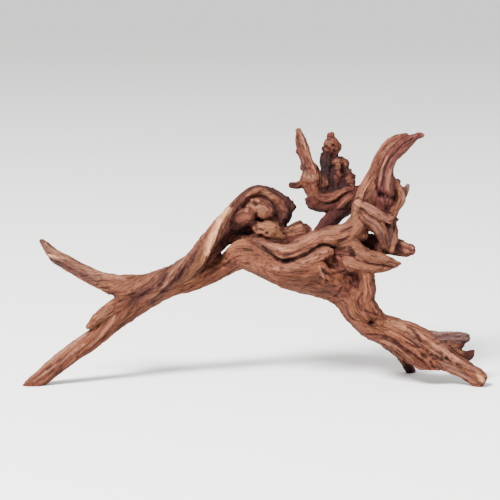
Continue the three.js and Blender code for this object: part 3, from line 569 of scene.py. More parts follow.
trunkMarks = [
    ("plum", 10, 0, 0.6, [(136, 297), (158, 286), (180, 268), (196, 248)]),
    ("plum", 4.0, 0, 0.7, [(130, 300), (144, 292), (156, 283), (165, 274)]),
    ("plum", 3.6, 0, 0.7, [(147, 303), (160, 294), (172, 283), (182, 270)]),
    ("plum", 3.4, 0, 0.7, [(178, 280), (188, 266), (197, 252)]),
    ("tan", 1.6, 0, 0.6, [(128, 292), (142, 284), (152, 277), (164, 269)]),
    ("tan", 1.5, 0, 0.6, [(140, 302), (155, 291), (168, 278), (180, 264)]),
    ("cream", 1.2, 0, 0.5, [(150, 299), (163, 288), (173, 277)]),
    ("tan", 1.8, 0, 0.6, [(158, 298), (172, 289), (182, 279), (190, 270)]),
    ("cream", 1.3, 0, 0.5, [(168, 276), (178, 265), (187, 255)]),
    ("tan", 1.5, 0, 0.5, [(172, 262), (182, 255), (192, 245)]),
    ("dark", 1.3, 0.9, 0.8, [(135, 300), (150, 290), (160, 284), (167, 274)]),
    ("dark", 1.2, 0.9, 0.75, [(148, 302), (162, 292), (175, 280)]),
    ("dark", 1.1, 0.7, 0.7, [(136, 290), (146, 284), (153, 278)]),
    ("dark", 1.2, 0.8, 0.75, [(163, 273), (172, 264), (182, 255), (191, 246)]),
    ("dark", 1.4, 0.9, 0.75, [(172, 284), (181, 273), (190, 260), (196, 250)]),
    ("dark", 1.1, 0.7, 0.7, [(187, 262), (194, 254), (202, 243)]),
    ("black", 1.6, 0.8, 0.8, [(158, 288), (162, 285)]),
    ("ochre", 4.6, 0, 0.8, [(187, 283), (196, 269), (203, 257)]),
    ("redBrown", 4.5, 0, 0.45, [(205, 280), (222, 271), (238, 262)]),
    ("dark", 1.5, 0.9, 0.7, [(205, 276), (225, 264), (240, 255)]),
]
hoodMarks = [
    ("plum", 4.5, 0, 0.85, [(228, 212), (236, 202), (244, 194), (253, 188), (266, 186), (278, 193),
                            (289, 202)]),
    ("plum", 6, 0, 0.7, [(214, 253), (222, 240), (229, 226), (236, 212)]),
    ("ochre", 4.4, 0, 0.8, [(203, 258), (209, 244), (215, 231), (221, 219), (228, 210)]),
    ("pale", 3.0, 0, 0.9, [(206, 253), (211, 241), (217, 228), (222, 217), (229, 209)]),
    ("warm", 1.4, 0.3, 0.5, [(196, 256), (203, 244), (209, 232), (215, 221)]),
    ("dark", 1.2, 1.2, 0.75, [(200, 276), (207, 263), (212, 252), (216.5, 240), (221, 227), (227, 215)]),
    ("redBrown", 1.1, 0.5, 0.6, [(221, 246), (227, 232), (234, 218), (241, 206)]),
    ("redBrown", 1.1, 0.5, 0.6, [(227, 244), (231, 233), (236, 223)]),
    ("redBrown", 1.0, 0.5, 0.5, [(218, 250), (224, 236), (231, 221)]),
    ("ochre", 2.6, 0, 0.9, [(248, 195), (256, 191.5), (265, 192.5), (272, 197)]),
    ("warm", 2.4, 0, 0.6, [(272, 196), (278, 200), (283, 205)]),
    ("dark", 1.6, 0.7, 0.8, [(234, 205), (240, 198), (246, 192), (254, 187), (265, 187), (274, 192),
                             (284, 199)]),
    ("dark", 1.5, 1.0, 0.85, [(245, 199), (254, 196.5), (263, 197.5), (272, 203), (278, 214)]),
    ("dark", 3.2, 0.8, 0.85, [(262, 201), (269, 206), (273, 213), (275, 221)]),
    ("warm", 2.0, 0, 0.75, [(274, 201), (281, 206), (286, 210)]),
    ("brown", 1.6, 0, 0.7, [(279, 211), (283, 217), (282, 224)]),
    ("dark", 1.1, 0.9, 0.8, [(277, 205), (281, 212), (281, 221)]),
    ("dark", 1.0, 0.7, 0.75, [(280, 201), (286, 206), (291, 211)]),
    ("black", 3.4, 0, 0.85, [(291, 211), (288, 218), (283, 226)]),
    ("warm", 1.8, 0, 0.6, [(270, 194), (278, 199), (285, 204)]),
    ("dark", 3, 0.6, 0.8, [(238, 206), (243, 201), (249, 201)]),
    # painted highlight on the lit middle of the left knob
    ("tan", 3.0, 0, 0.6, [(242, 217), (248, 218), (252, 222)]),
    ("dark", 1.0, 0.8, 0.8, [(233, 216), (238, 210), (244, 208)]),
    ("dark", 1.0, 0.7, 0.75, [(234, 224), (240, 226), (248, 227)]),
    # painted shade on the left knob's shaded lower left side
    ("plum", 4, 0, 0.75, [(233, 222), (236, 228), (246, 229)]),
    ("cream", 1.4, 0, 0.6, [(246, 211), (250, 203), (252, 199)]),
    ("ochre", 6, 0, 0.75, [(258, 207), (265, 211)]),
    ("cream", 1.6, 0, 0.5, [(258, 206), (266, 209), (270, 213)]),
    ("dark", 1.2, 1.0, 0.85, [(253, 201), (256, 207), (257, 220)]),
    ("black", 1.4, 1.0, 0.9, [(255, 214), (256, 222), (256, 230)]),
    # painted shade in the crease under the left knob, also carved 1 mm
    ("black", 2.2, 1.0, 0.9, [(240, 232), (247, 232), (254, 233)]),
    ("dark", 1.5, 0.8, 0.8, [(262, 221), (269, 219), (276, 222)]),
    ("ochre", 6, 0, 0.75, [(262, 226), (272, 228), (278, 234)]),
    # painted shade: a small hole painted near black, carved 1.8 mm
    ("black", 1.7, 1.8, 0.95, [(266, 233), (268, 234)]),
    ("dark", 1.2, 0.8, 0.8, [(257, 229), (264, 230)]),
    ("dark", 1.2, 0.8, 0.8, [(260, 235), (263, 237)]),
    ("cream", 2.0, 0, 0.7, [(284, 231), (293, 228), (301, 226)]),
    ("redBrown", 1.0, 0.5, 0.6, [(283, 234), (292, 231), (301, 227)]),
    ("redBrown", 1.0, 0.5, 0.6, [(281, 231), (290, 228), (298, 223)]),
    ("dark", 2.6, 0, 0.85, [(303, 222), (306, 226), (308, 231)]),
    ("dark", 1.1, 0.8, 0.8, [(254, 205), (258, 203), (265, 204), (270, 209)]),
    ("cream", 1.2, 0, 0.6, [(256, 207), (261, 206), (267, 209)]),
    ("brown", 2.6, 0, 0.6, [(266, 214), (269, 217), (266, 220)]),
    ("dark", 1.6, 0.8, 0.8, [(276, 239), (286, 243), (298, 242)]),
]
bodyMarks = [
    ("tan", 9, 0, 0.55, [(236, 246), (248, 254), (262, 266)]),
    ("ochre", 2.4, 0, 0.6, [(229, 252), (233, 245), (240, 239), (250, 237)]),
    ("plum", 4, 0, 0.7, [(252, 239), (260, 244), (268, 250)]),
    ("redBrown", 5, 0, 0.5, [(322, 288), (338, 292), (352, 296)]),
    # painted highlight along the top of the rope
    ("cream", 3, 0, 0.4, [(272, 246), (286, 249), (301, 243), (316, 235), (332, 231), (346, 226)]),
    # painted highlight along the crest of the fold below the rope
    ("cream", 3, 0, 0.35, [(274, 268), (290, 268), (306, 262), (318, 256)]),
    ("redBrown", 1.0, 0.6, 0.6, [(280, 254), (294, 253), (309, 246), (324, 239)]),
    ("redBrown", 1.0, 0.6, 0.55, [(284, 249), (298, 247), (313, 239)]),
    ("brown", 1.0, 0.5, 0.55, [(270, 272), (288, 273), (306, 268), (318, 262)]),
    ("brown", 1.0, 0.5, 0.5, [(288, 280), (305, 280), (322, 277)]),
    ("black", 1.5, 3.0, 1.0, [(263, 247), (269, 253), (277, 259), (285, 261), (295, 258.5), (305, 255),
                             (313, 250), (320, 246), (328, 245), (334, 248)]),
    ("redBrown", 1.6, 0.5, 0.6, [(257, 273), (268, 281), (277, 285)]),
    ("dark", 1.7, 1.3, 0.9, [(281, 267), (283, 268)]),
    # painted shade in the shallow dimple below the fold, also carved 1.2 mm
    ("brown", 4.5, 1.2, 0.75, [(312, 281), (317, 279), (320, 274)]),
    ("cream", 1.5, 0, 0.7, [(319, 266), (322, 272), (324, 279)]),
    ("dark", 1.2, 1.0, 0.8, [(322, 268), (325, 274), (327, 281)]),
    ("dark", 1.1, 0.8, 0.75, [(301, 289), (309, 285), (318, 285)]),
    ("dark", 1.3, 0.8, 0.75, [(306, 272), (308, 271)]),
    # these three marks are painted shade in the cave beside the fold tip
    ("redBrown", 6, 0.3, 0.5, [(331, 255), (330, 262), (336, 269)]),
    ("dark", 1.6, 0.7, 0.75, [(326, 258), (328, 264), (334, 268)]),
    ("dark", 1.1, 0.8, 0.7, [(335, 253), (334, 259), (338, 265)]),
    ("tan", 1.4, 0, 0.55, [(331, 256), (331, 262), (336, 267)]),
    ("dark", 1.5, 1.3, 0.85, [(324, 270), (330, 274), (345, 271)]),
    ("redBrown", 7, 0.8, 0.85, [(357, 276), (353, 282), (347, 289)]),
    ("brown", 1.5, 0, 0.7, [(351, 277), (350, 283), (346, 288)]),
    ("dark", 1.8, 1.4, 0.85, [(357, 277), (358, 289)]),
    ("dark", 1.2, 1.0, 0.75, [(361, 277), (362, 284)]),
    ("dark", 1.8, 1.4, 0.85, [(334, 286), (336, 287)]),
    ("dark", 1.0, 0.8, 0.75, [(334, 296), (341, 290)]),
    ("dark", 1.2, 1.0, 0.85, [(340, 300), (345, 302), (347, 308), (350, 316), (355, 321)]),
    ("dark", 1.2, 1.1, 0.85, [(362, 294), (358.5, 299), (358.5, 305), (362, 310)]),
    # painted shade along the pillar's right edge
    ("redBrown", 2.0, 0, 0.6, [(373, 279), (374.5, 291), (373, 302)]),
    ("dark", 1.0, 0.8, 0.7, [(367, 283), (369, 291), (367, 299)]),
    ("redBrown", 1.6, 0.9, 0.7, [(356, 300), (357, 307), (361, 311)]),
    ("dark", 1.2, 1.0, 0.85, [(364, 311), (372, 313), (378, 315)]),
    ("redBrown", 4.2, 0.4, 0.6, [(368, 323), (374, 323)]),
    # painted shade: the knot hole's core painted near black
    ("black", 1.9, 1.0, 0.9, [(370, 323), (373, 323.5)]),
    ("dark", 1.2, 1.4, 0.85, [(341, 232), (352, 227)]),
    ("dark", 1.3, 1.6, 0.9, [(338, 243), (350, 236)]),
    ("dark", 1.4, 1.4, 0.9, [(338, 250), (345, 248), (352, 246)]),
    # painted shade: a hole painted near black, carved 2 mm
    ("black", 2.8, 2.0, 0.9, [(350, 249), (352, 253), (354, 256)]),
    ("cream", 1.6, 0, 0.45, [(362, 253), (376, 257), (390, 261)]),
    ("dark", 1.2, 1.5, 0.9, [(352, 256), (358, 260), (368, 263), (380, 265), (392, 267)]),
]
rightLegMarks = [
    ("ochre", 6, 0, 0.4, [(380, 324), (395, 329), (408, 336)]),
    ("cream", 2, 0, 0.4, [(384, 321), (398, 324), (410, 330), (424, 338)]),
    ("grey", 5, 0, 0.7, [(437, 337), (450, 337), (466, 337)]),
    ("redBrown", 1.2, 0.6, 0.65, [(433, 340), (445, 335), (455, 335)]),
    ("dark", 1.2, 0.6, 0.7, [(436, 345), (446, 341), (458, 341), (464, 343)]),
    ("cream", 1.2, 0, 0.5, [(434, 333), (446, 332), (460, 333)]),
    ("ochre", 3, 0, 0.7, [(450, 342), (456, 347), (462, 352)]),
    ("black", 2, 1.0, 0.9, [(452, 350), (455, 352)]),
    ("redBrown", 3, 0, 0.6, [(376, 337), (388, 341), (398, 348), (410, 358), (422, 366)]),
    ("cream", 1.4, 0, 0.5, [(380, 340), (392, 345), (404, 353), (414, 361)]),
    ("dark", 1.3, 1.5, 0.9, [(367, 334), (378, 335), (387, 336.5), (394, 340), (401, 346), (409, 351.5),
                             (417, 357), (424, 363), (430, 369)]),
    ("dark", 1.1, 1.1, 0.85, [(380, 337), (388, 340), (395, 343.5), (402, 348.5), (409, 355),
                              (416, 362)]),
    ("redBrown", 1.1, 0.8, 0.7, [(384, 347), (394, 351), (404, 359), (413, 366)]),
    ("redBrown", 1.4, 0.8, 0.7, [(403, 335), (410, 340), (418, 345), (424, 348)]),
    ("dark", 1.6, 1.4, 0.88, [(408, 327), (413, 330), (417, 336), (421, 342)]),
    ("grey", 2.6, 0, 0.6, [(410, 335), (414, 340), (419, 344)]),
    ("dark", 1.6, 1.5, 0.9, [(407, 342), (413, 345.5), (420, 347)]),
    ("black", 2.0, 1.6, 0.9, [(422, 354.5), (427, 357.5)]),
    ("black", 1.2, 1.3, 0.9, [(431, 354), (438, 355), (444, 358), (451, 361)]),
    ("black", 1.1, 1.2, 0.9, [(433, 359), (440, 360), (448, 364)]),
    ("dark", 1.1, 1.1, 0.85, [(436, 351), (441, 354), (443, 361)]),
    ("dark", 1.2, 1.2, 0.85, [(430, 361), (435, 369)]),
    ("black", 1.5, 1.3, 0.9, [(446, 357), (448, 359)]),
    ("black", 1.4, 1.3, 0.9, [(436, 357), (439, 358)]),
    ("black", 1.3, 1.2, 0.9, [(441, 352), (443, 354)]),
    ("black", 1.3, 1.2, 0.9, [(426, 350), (429, 352)]),
    ("black", 1.2, 1.2, 0.85, [(450, 363), (453, 365)]),
    ("cream", 2.6, 0, 0.75, [(434, 345), (448, 353), (460, 361), (476, 370)]),
    ("grey", 3.0, 0, 0.5, [(442, 363), (455, 370), (470, 378)]),
    ("cream", 1.3, 0, 0.7, [(450, 369), (462, 375), (476, 382)]),
    ("cream", 1.2, 0, 0.6, [(424, 344), (434, 352), (444, 358)]),
    ("redBrown", 1.3, 0.8, 0.7, [(449, 349), (457, 355), (466, 362), (477, 368)]),
    ("black", 2.2, 1.6, 0.9, [(457, 364.5), (461, 368)]),
    ("redBrown", 1.2, 0.8, 0.7, [(440, 371), (452, 376), (466, 381)]),
    ("redBrown", 1.1, 0.8, 0.7, [(463, 373), (471, 377), (480, 380)]),
    ("pale", 2.4, 0, 0.75, [(477, 373), (481, 377), (483, 381)]),
    ("dark", 1.0, 0.9, 0.75, [(470, 370), (477, 373), (484, 375)]),
    ("black", 4.0, 0, 0.85, [(407, 366), (410, 371)]),
]
hornMarks = [
    ("redBrown", 6, 0, 0.6, [(375, 170), (382, 156), (392, 145), (405, 136)]),
    ("redBrown", 1.4, 0.8, 0.7, [(376, 166), (383, 152), (394, 142), (405, 136)]),
    ("redBrown", 1.2, 0.8, 0.65, [(379, 170), (385, 158), (394, 149)]),
    ("cream", 1.1, 0, 0.4, [(380, 158), (388, 147), (399, 140)]),
    ("rose", 3.4, 0, 0.7, [(387, 190), (389, 172), (396, 157), (408, 145), (420, 137)]),
    ("rose", 2.4, 0, 0.7, [(380, 182), (383, 168), (388, 156), (392, 149)]),
    ("cream", 1.5, 0, 0.5, [(388, 190), (390, 174), (397, 159)]),
    ("cream", 1.2, 0, 0.5, [(380, 180), (382, 168), (387, 156)]),
    ("black", 1.2, 1.8, 0.95, [(382, 186), (384, 172), (388, 161), (395, 152), (404, 143), (413, 138)]),
    ("dark", 1.2, 1.0, 0.85, [(377, 192), (377, 180), (379, 170), (384, 158)]),
    ("redBrown", 1.0, 0.7, 0.6, [(392, 176), (396, 164), (404, 154)]),
    ("ochre", 4.0, 0, 0.25, [(353, 222), (356, 207), (361, 194), (367, 182)]),
    # painted highlight along the horn post's left edge
    ("cream", 1.6, 0, 0.4, [(353, 218), (356, 205), (361, 194)]),
    ("brown", 1.2, 0.5, 0.6, [(358, 219), (361, 206), (366, 193), (372, 180)]),
    ("redBrown", 1.1, 0.6, 0.6, [(363, 203), (368, 190), (374, 178)]),
    ("redBrown", 5, 0, 0.6, [(374, 200), (382, 206), (390, 213)]),
    # the dark and black marks on the next six lines are painted shade, with some stain, in the hollow under
    # the horn
    ("dark", 3.2, 1.2, 0.8, [(378, 190), (384, 195), (391, 197)]),
    ("black", 1.6, 1.4, 0.9, [(377, 188), (380, 194), (383, 196)]),
    ("black", 1.4, 1.2, 0.9, [(386, 196), (390, 199), (393, 197)]),
    ("brown", 1.4, 0, 0.7, [(382, 190), (386, 193), (390, 193)]),
    ("dark", 1.3, 1.0, 0.85, [(376, 181), (378, 189)]),
    ("dark", 1.2, 0.8, 0.75, [(380, 203), (386, 209), (392, 215)]),
    ("redBrown", 1.2, 0.7, 0.75, [(374, 202), (380, 209), (387, 215)]),
    ("cream", 1.6, 0, 0.45, [(397, 186), (402, 194), (403, 202), (398, 212)]),
    ("dark", 1.0, 0.7, 0.6, [(396, 186), (400, 194), (401, 202), (397, 211)]),
    ("dark", 1.2, 1.0, 0.75, [(394, 190), (397, 199), (394, 210)]),
    ("grey", 3.0, 0, 0.4, [(362, 204), (374, 211), (388, 219)]),
    ("grey", 3.4, 0, 0.4, [(364, 217), (375, 224), (382, 235)]),
    ("dark", 1.2, 1.0, 0.85, [(361, 208), (370, 216), (381, 222)]),
    ("redBrown", 1.2, 0.7, 0.7, [(358, 198), (368, 202), (380, 208), (391, 216)]),
    ("dark", 1.2, 1.0, 0.8, [(359, 217), (366, 226)]),
    ("plum", 4, 0, 0.6, [(380, 236), (384, 243)]),
    # painted shade in the hollow under the lower strap
    ("dark", 4, 0.4, 0.6, [(365, 244), (371, 241), (377, 246)]),
    ("brown", 1.5, 0, 0.6, [(368, 241), (374, 244), (379, 248)]),
    ("dark", 1.4, 1.0, 0.85, [(386, 235), (388, 246)]),
    ("grey", 2.0, 0, 0.7, [(392, 222), (392, 233), (391, 243)]),
    ("dark", 1.2, 0.6, 0.85, [(391, 221), (399, 218)]),
    ("cream", 1.6, 0, 0.6, [(402, 243), (408, 245), (414, 248)]),
    ("cream", 1.2, 0, 0.5, [(404, 250), (412, 252)]),
    ("dark", 4, 0.6, 0.8, [(397, 246), (400, 251)]),
    ("dark", 1.6, 0.6, 0.8, [(409, 246), (411, 252)]),
]
clusterMarks = [
    ("brown", 4, 0, 0.5, [(299, 132), (303, 146), (307, 160), (311, 172)]),
    ("cream", 1.8, 0, 0.75, [(300, 130), (304, 143), (308, 156), (313, 168)]),
    ("grey", 2.0, 0, 0.6, [(302, 158), (306, 170), (308, 180)]),
    ("dark", 1.2, 0.6, 0.8, [(297, 137), (299, 147)]),
    ("dark", 1.1, 0.7, 0.75, [(302, 152), (305, 161), (306, 168)]),
    ("redBrown", 1.0, 0.6, 0.65, [(306, 150), (310, 162), (314, 171)]),
    ("dark", 1.4, 0.8, 0.8, [(303, 165), (306, 169), (311, 169)]),
    ("tan", 5, 0, 0.6, [(304, 178), (312, 180), (318, 177)]),
    ("cream", 1.6, 0, 0.6, [(304, 176), (311, 177), (317, 175)]),
    ("dark", 1.1, 0.8, 0.75, [(303, 182), (311, 184), (318, 181)]),
    ("redBrown", 4, 0, 0.6, [(304, 188), (313, 190), (320, 186)]),
    ("dark", 3, 0, 0.8, [(289, 184), (293, 185)]),
    ("tan", 2.8, 0, 0.6, [(325, 144), (331, 143), (337, 147)]),
    ("black", 1.5, 1.4, 0.92, [(324.5, 145.5), (327, 148)]),
    ("black", 1.2, 1.4, 0.92, [(331.5, 144), (335, 146.5)]),
    ("dark", 1.3, 1.0, 0.85, [(329.5, 149), (330.5, 153)]),
    ("dark", 1.0, 0.8, 0.7, [(334, 150), (336.5, 153)]),
    # painted shade under the tower's head, its chin
    ("dark", 1.6, 0.9, 0.8, [(321, 151), (326, 154), (333, 156)]),
    ("black", 4, 0, 0.85, [(324, 158), (323, 166), (326, 174)]),
    ("plum", 2, 0, 0.7, [(322, 156), (325, 160)]),
    # from here to the tower's foot: the black marks are painted shade in the gaps between the lumps, the tan
    # marks painted highlights on their tops
    ("tan", 1.6, 0, 0.6, [(326, 180), (327, 184)]),
    ("black", 2.6, 1.0, 0.9, [(332, 158), (332, 168), (331, 178), (332, 186)]),
    ("tan", 2.0, 0, 0.85, [(335, 160), (339, 164), (338, 169)]),
    ("dark", 1.3, 0.9, 0.85, [(341, 161), (342, 168), (342, 176)]),
    ("tan", 1.6, 0, 0.75, [(344, 161), (347, 165)]),
    ("black", 1.5, 1.2, 0.95, [(343, 166), (345, 172), (343, 178)]),
    ("black", 1.4, 1.0, 0.9, [(337, 170), (335, 175)]),
    ("black", 2.4, 1.0, 0.9, [(341, 178), (342, 184), (340, 189)]),
    ("brown", 2.0, 0, 0.7, [(336, 176), (338, 182)]),
    ("tan", 1.6, 0, 0.75, [(346, 178), (350, 181), (353, 186)]),
    ("dark", 1.0, 0.7, 0.75, [(347, 183), (351, 187)]),
    ("black", 1.8, 1.0, 0.9, [(322, 189), (330, 189), (338, 188)]),
    ("tan", 2.6, 0, 0.6, [(320, 199), (328, 201), (337, 196), (345, 190)]),
    ("dark", 1.2, 0.9, 0.85, [(316, 200), (326, 204), (336, 202), (343, 195), (352, 191)]),
    ("redBrown", 3, 0, 0.6, [(318, 206), (328, 208), (336, 206)]),
    # painted highlight along the cluster stem's upper ridge
    ("tan", 2, 0, 0.6, [(342, 206), (348, 200), (357, 195)]),
    ("dark", 1.1, 0.8, 0.8, [(337, 211), (343, 209), (350, 202), (359, 197)]),
    ("dark", 4, 0, 0.8, [(307, 201), (310, 205), (316, 209)]),
    ("dark", 1.8, 0.8, 0.9, [(312, 209), (320, 211), (330, 212)]),
    ("dark", 5, 0, 0.75, [(318, 230), (332, 219), (343, 211)]),
    ("brown", 3, 0, 0.5, [(340, 217), (350, 207)]),
]
marks = forkMarks + trunkMarks + hoodMarks + bodyMarks + rightLegMarks + hornMarks + clusterMarks

print("tables read:", len(limbs), "limbs,", len(marks), "marks")

ringSets = {name: limbRings(stations, skin["loftStep"]) for name, stations in limbs.items()}
loftPoints, loftFaces, total = [], [], 0
for order, (name, rings) in enumerate(ringSets.items()):
    points, quads, fans = limbSurface(rings, order * skin["limbPhase"], splitLimbs.get(name, plainOval))
    loftPoints.append(points)
    loftFaces += (quads + total).tolist() + (fans + total).tolist()
    total += len(points)
points, quads, edges = fusedSkin(np.vstack(loftPoints), loftFaces, skin["voxel"])
points = filleted(evened(points, edges, skin["loftEvening"]), quads, edges, skin["fillet"])
print("limbs fused:", len(quads) * 2, "triangles")


# hollows scooped from the side in view: a vertex inside the hollow's oval goes back along the sight to the
# far wall of the ellipsoid
def scooped(points):
    column, row, back = viewed(points)
    facing = normalsOf(points, quads) @ sight < hollowFacing
    for middleColumn, middleRow, depth, halfWidth, halfHeight, halfDepth in hollows.values():
        inside = ((column - middleColumn) / halfWidth) ** 2 + ((row - middleRow) / halfHeight) ** 2
        wall = (depth + halfDepth * np.sqrt(np.clip(1 - inside, 0, 1))) * mm
        moved = (inside < 1) & (back < wall) & (back > (depth - 2 * halfDepth) * mm) & facing
        points = points + np.where(moved, wall - back, 0)[:, None] * sight
    return points


points, quads, edges = fusedSkin(scooped(points), quads.tolist(), skin["voxel"])
points = evened(points, edges, skin["skinEvening"])
print("hollows scooped:", len(quads) * 2, "triangles")

# How a vertex finds the limb it grew from.
limbSearch = {
    "far": 9.0,            # half widths, farther than any limb that is looked at
    "halfWidths": 1.6,     # a limb's box is widened by this many of its half widths
    "margin": 3 * mm,      # and by this much more
    "batch": 4000,         # vertices at a time
    "grainApart": 0.37,    # metres from one limb's grain to the next one's, so that no two match
    "meeting": 0.25,       # half widths of lead over which a limb's own relief grows to its full height
}


# the limb each vertex grew from: a vertex's offsets from a ring along its three axes, each over the half
# width there, give a distance in half widths; the nearest limb and the runner-up are kept
def nearestLimbs(points):
    count = len(points)
    best, second = np.full(count, limbSearch["far"]), np.full(count, limbSearch["far"])
    limb, runnerUp = np.zeros(count, int), np.zeros(count, int)
    grain = np.zeros((count, 3))
    for order, (name, rings) in enumerate(ringSets.items()):
        half = rings["half"]
        reach = half.max() * limbSearch["halfWidths"] + limbSearch["margin"]
        low, high = rings["centre"].min(axis=0) - reach, rings["centre"].max(axis=0) + reach
        near = np.flatnonzero(((points > low) & (points < high)).all(axis=1))
        for part in np.array_split(near, len(near) // limbSearch["batch"] + 1):
            offset = points[part, None] - rings["centre"][None]
            u, v, w = ((offset * rings[k]).sum(axis=2) for k in ("across", "through", "tangent"))
            size = np.sqrt((u / half[:, 0]) ** 2 + (v / half[:, 1]) ** 2 + (w / half.min(axis=1)) ** 2)
            i = size.argmin(axis=1)
            n = np.arange(len(part))
            size = size[n, i]
            along = rings["along"][i] + w[n, i]
            turn = grainTwist.get(name, 0.0) * along
            own = np.stack([u[n, i] * np.cos(turn) - v[n, i] * np.sin(turn),
                            u[n, i] * np.sin(turn) + v[n, i] * np.cos(turn), along], axis=-1)
            own = own + order * limbSearch["grainApart"]
            nearer = size < best[part]
            between = ~nearer & (size < second[part])
            second[part] = np.where(nearer, best[part], np.where(between, size, second[part]))
            runnerUp[part] = np.where(nearer, limb[part], np.where(between, order, runnerUp[part]))
            best[part] = np.where(nearer, size, best[part])
            limb[part] = np.where(nearer, order, limb[part])
            grain[part] = np.where(nearer[:, None], own, grain[part])
    return limb, runnerUp, second - best, grain


limb, runnerUp, lead, grain = nearestLimbs(points)
look = [limbLook[name] for name in limbs]
gnarl = np.array([g for _, g in look])
inLimb = eased(lead / limbSearch["meeting"])  # falls to 0 where two limbs meet
print("limbs told apart")

# What counts as in view.
inSight = {
    "cell": 2,             # pixels, the squares in which the nearest wood is found
    "farthest": 9.0,       # metres, for a square with no wood
    "turnedAway": 0.45,    # a face drops out of view at this much of its normal along the sight
    "turnFade": 0.4,
    "behind": 9 * mm,      # so does a vertex this far behind the nearest wood
    "behindFade": 4 * mm,
}

# what the eye meets first: the least depth in each square of the view, and faces turned to the eye
normal = normalsOf(points, quads)
column, row, back = viewed(points)
cellCount = sideView["size"] // inSight["cell"]
cell = tuple(np.clip(x / inSight["cell"], 0, cellCount - 1).astype(int) for x in (row, column))
nearest = np.full((cellCount, cellCount), inSight["farthest"])
np.minimum.at(nearest, cell, back)
inView = (eased((inSight["turnedAway"] - normal @ sight) / inSight["turnFade"])
          * eased((nearest[cell] + inSight["behind"] - back) / inSight["behindFade"]))

# How a mark's edge and cover vary.
markEdge = {
    "samples": 1.5,        # places a pixel along its line
    "margin": 3,           # half widths to either side that it can reach
    "endWidth": 0.55,      # share of the width at its ends, and what the middle adds
    "middleWidth": 0.45,
    "endCut": 0.02,        # share of its length over which the ends stay as narrow
    "fraySize": 3 * mm,    # noise that moves its edge, and how far
    "frayShare": 0.35,
    "fall": 0.7,           # steepness of the bell
    "cover": 0.92,         # mean cover
    "patchSize": 5 * mm,   # noise that thins it in patches, and how far
    "patchShare": 0.35,
}
fray = roughness(points / markEdge["fraySize"], seed=5, sizes=2)
patchy = roughness(points / markEdge["patchSize"], seed=7, sizes=2)


# a mark's cover, 0 to 1: a bell over the distance to its smooth line, narrowed at both ends and frayed by
# noise
def markCover(halfWidth, line):
    line = np.array(line, float)
    samples = max(3, int(np.linalg.norm(np.diff(line, axis=0), axis=1).sum() * markEdge["samples"]))
    t = np.linspace(0, 1, samples)
    path, _ = smoothLine(line, t)
    margin = markEdge["margin"] * halfWidth
    near = np.flatnonzero((column > path[:, 0].min() - margin) & (column < path[:, 0].max() + margin)
                          & (row > path[:, 1].min() - margin) & (row < path[:, 1].max() + margin))
    gap = np.hypot(column[near, None] - path[:, 0], row[near, None] - path[:, 1])
    i = gap.argmin(axis=1)
    bow = np.sqrt(np.sin(np.pi * np.clip(t[i], markEdge["endCut"], 1 - markEdge["endCut"])))
    width = halfWidth * (markEdge["endWidth"] + markEdge["middleWidth"] * bow)
    ratio = gap[np.arange(len(near)), i] / width * (1 + markEdge["frayShare"] * fray[near])
    patches = np.clip(markEdge["cover"] + markEdge["patchShare"] * patchy[near], 0, 1)
    return near, np.exp(-ratio ** 3 * markEdge["fall"]) * inView[near] * patches


# Relief on the skin, in millimetres; three numbers are two across the grain and one along it.
relief = {
    "fluteSize": (4.5, 4.5, 70.0),
    "fluteHeight": 0.85,
    "crackSpacing": (5.0, 5.0, 55.0),
    "crackWidth": 0.10,    # the part of the noise's height that opens as a crack
    "crackDepth": 0.9,
    "lumpSize": 8.0,
    "smallLumpSize": 3.5,
    "smallLumpShare": 0.5,
    "swell": 0.35,         # gives back what the evening takes off thin limbs
}

# relief: flutes along the grain, drying cracks along it, lumps, and the grooves and pits among the marks
flutes = roughness(grain / np.array(relief["fluteSize"]) / mm, seed=11, sizes=3)
crackNoise = roughness(grain / np.array(relief["crackSpacing"]) / mm, seed=23, sizes=2)
crack = 1 - eased(np.abs(crackNoise) / relief["crackWidth"])
lumpy = roughness(points / (relief["lumpSize"] * mm), seed=31, sizes=3)
smallLumps = roughness(points / (relief["smallLumpSize"] * mm), seed=37, sizes=2)
lumpy = lumpy + relief["smallLumpShare"] * smallLumps
height = (relief["fluteHeight"] * flutes - relief["crackDepth"] * crack) * inLimb
height = height + gnarl[limb] * lumpy + relief["swell"]
for _, halfWidth, depth, _, line in marks:
    if depth:
        near, cover = markCover(halfWidth, line)
        height[near] -= depth * cover
points = points + normal * height[:, None] * mm
print("relief carved")

# How crowded places are found, where the colour is darkened as painted shade.
crowd = {
    "cell": 4 * mm,        # of the map of wood
    "border": 24 * mm,     # empty space round it
    "discAcross": 13,      # places across a limb's section that fill the map
    "blur": 2.2,           # cells, the spread of the bell
    "lift": 5 * mm,        # how far off the skin the map is read
    "rounds": 3,           # of smoothing along the skin
    "step": 0.5,
}


